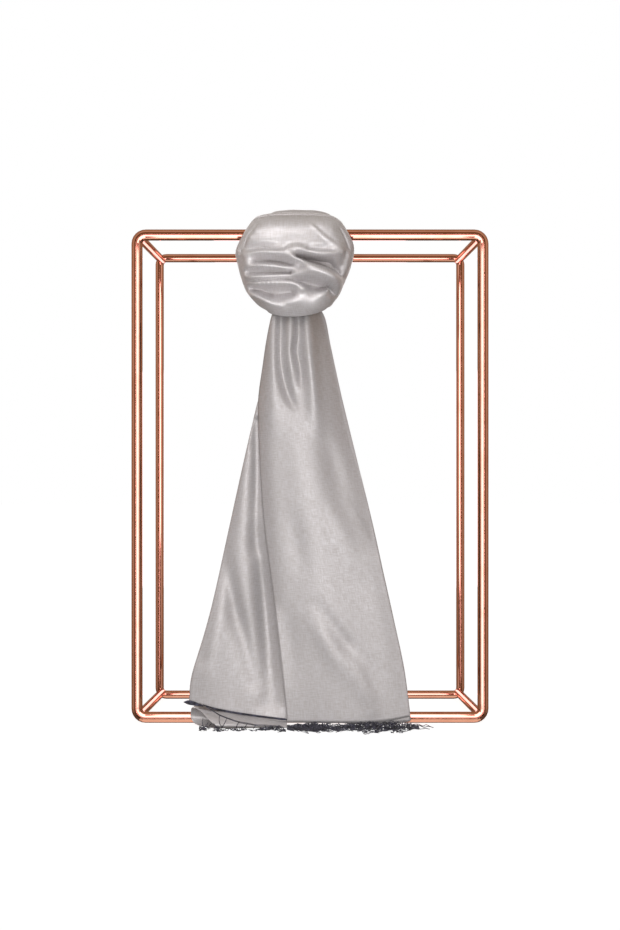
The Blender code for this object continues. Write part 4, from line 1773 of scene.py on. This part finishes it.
    def _soft_light(self, tree: bpy.types.NodeTree, axes: bpy.types.Node) -> bpy.types.NodeSocket:
        """Grade the surround's light by where it comes from.

        Args:
            tree: the surround's node tree.
            axes: the direction, parted into its axes.

        Returns:
            The strength of the light.
        """
        aside = add_node(
            tree, "ShaderNodeMath", {"operation": "ABSOLUTE"}, links={0: axes.outputs["X"]})
        shares = [
            soft_range(tree, axes.outputs["Y"], (-1.0, 0.5), (self.ahead_light, self.behind_light)),
            soft_range(tree, axes.outputs["Z"], (-0.9, 0.4), (self.below_share, self.above_share)),
            soft_range(tree, axes.outputs["Z"], (0.5, 1.0), (1.0, self.overhead_share)),
            soft_range(tree, aside.outputs[0], (0.25, 0.95), (1.0, self.aside_share)),
        ]
        light = shares[0]
        for share in shares[1:]:
            light = add_node(
                tree, "ShaderNodeMath", {"operation": "MULTIPLY"},
                links={0: light, 1: share}).outputs[0]
        return light

    def _mirrored_room(self, tree: bpy.types.NodeTree, axes: bpy.types.Node) -> bpy.types.NodeSocket:
        """Colour what smooth pieces mirror, band by band from behind the set to in front of it.

        Args:
            tree: the surround's node tree.
            axes: the direction, parted into its axes.

        Returns:
            The mirrored colour.
        """
        toward = add_node(
            tree, "ShaderNodeMapRange", values={"From Min": 1.0, "From Max": -1.0},
            links={"Value": axes.outputs["Y"]})
        mirrored = add_node(tree, "ShaderNodeValToRGB", links={"Fac": toward.outputs[0]})
        stops = mirrored.color_ramp.elements
        for band in self.mirrored_stops[1:-1]:
            stops.new(band.place)
        for stop, band in zip(stops, self.mirrored_stops):
            stop.position = band.place
            stop.color = (band.red, band.green, band.blue, 1.0)
        raised = soft_range(tree, axes.outputs["Z"], (-0.6, 0.2), (self.mirrored_below, 1.0))
        gleam = add_node(
            tree, "ShaderNodeVectorMath", {"operation": "SCALE"},
            links={0: mirrored.outputs[0], "Scale": raised})
        return gleam.outputs[0]

    def _soft_box(self, box: SoftBox) -> bpy.types.Object:
        """Add a soft box that the camera doesn't see.

        Args:
            box: its place, target, size and strength.

        Returns:
            The light.
        """
        data = bpy.data.lights.new(box.name, "AREA")
        data.shape = "RECTANGLE"
        data.size, data.size_y = box.size[0] * MM, box.size[1] * MM
        data.energy = box.power
        data.color = linear(box.colour)[:3]
        light = bpy.data.objects.new(box.name, data)
        light.location = (Vector(box.place) + Vector((0.0, self.rail_y, 0.0))) * MM
        aim = Vector(box.target) - Vector(box.place)
        light.rotation_euler = aim.to_track_quat("-Z", "Y").to_euler()
        light.visible_camera = False
        bpy.context.scene.collection.objects.link(light)
        return light


# ---------------------------------------------------------------------------------------------
# Assembly
# ---------------------------------------------------------------------------------------------

@dataclass
class Stole:
    """The stole in its stretches, and its two fringes, set at the stand's front rail.

    Args:
        rail_y: depth of the front hoop's plane.
        rail_z: height of its top rail's axis.
        rail_radius: the rail's radius.
    """

    rail_y: float
    rail_z: float
    rail_radius: float

    def build(self) -> tuple[list[bpy.types.Object], list[bpy.types.Object]]:
        """Make every stretch and both fringes, and set each at the rail in its finish.

        Returns:
            The pieces of the knot, and the hanging ends with their fringes.
        """
        satin = SilkSatin().build()
        yarn = FringeYarn().build()
        wrap = self._settle(KnotWrap().build(), satin, "knot_wrap")
        saddle = self._settle(
            KnotSaddle(self.rail_z, self.rail_radius).build(), satin, "knot_saddle")
        front = self._settle(front_tail().build(), satin, "front_tail")
        back = self._settle(back_tail().build(), satin, "back_tail")
        under = self._settle(UnderLayer().build(), satin, "under_layer")
        front_yarn = self._settle(front_fringe().build(), yarn, "front_fringe")
        back_yarn = self._settle(back_fringe().build(), yarn, "back_fringe")

        return [wrap, saddle], [front, back, under, front_yarn, back_yarn]

    def _settle(
        self, piece: bpy.types.Object, finish: bpy.types.Material, node: str
    ) -> bpy.types.Object:
        """Set a piece at the rail, dress it, and let it ride on the part in place of its node.

        Args:
            piece: the new piece.
            finish: its material.
            node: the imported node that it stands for.

        Returns:
            The piece.
        """
        piece.location.y = self.rail_y * MM
        piece.data.materials.append(finish)
        bpy.context.view_layer.update()
        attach(piece, BODY)
        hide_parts(node)
        LOG.info("%s: %d faces", piece.name, len(piece.data.polygons))
        return piece


def main() -> None:
    """Build the stand's finish, the stole with its fringes, and the studio."""
    logging.basicConfig(level=logging.INFO, format="%(name)s %(message)s")
    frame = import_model()
    hoop_low, hoop_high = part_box("front_hoop")
    rail_y = (hoop_low[1] + hoop_high[1]) / 2.0 / MM
    rail_radius = (hoop_high[1] - hoop_low[1]) / 2.0 / MM
    rail_z = hoop_high[2] / MM - rail_radius

    tubes = DisplayStand().dress(frame, CopperPlate().build())
    knot, ends = Stole(rail_y, rail_z, rail_radius).build()
    Studio(rail_y).build(tubes, knot, ends)


if __name__ == "__main__":
    main()
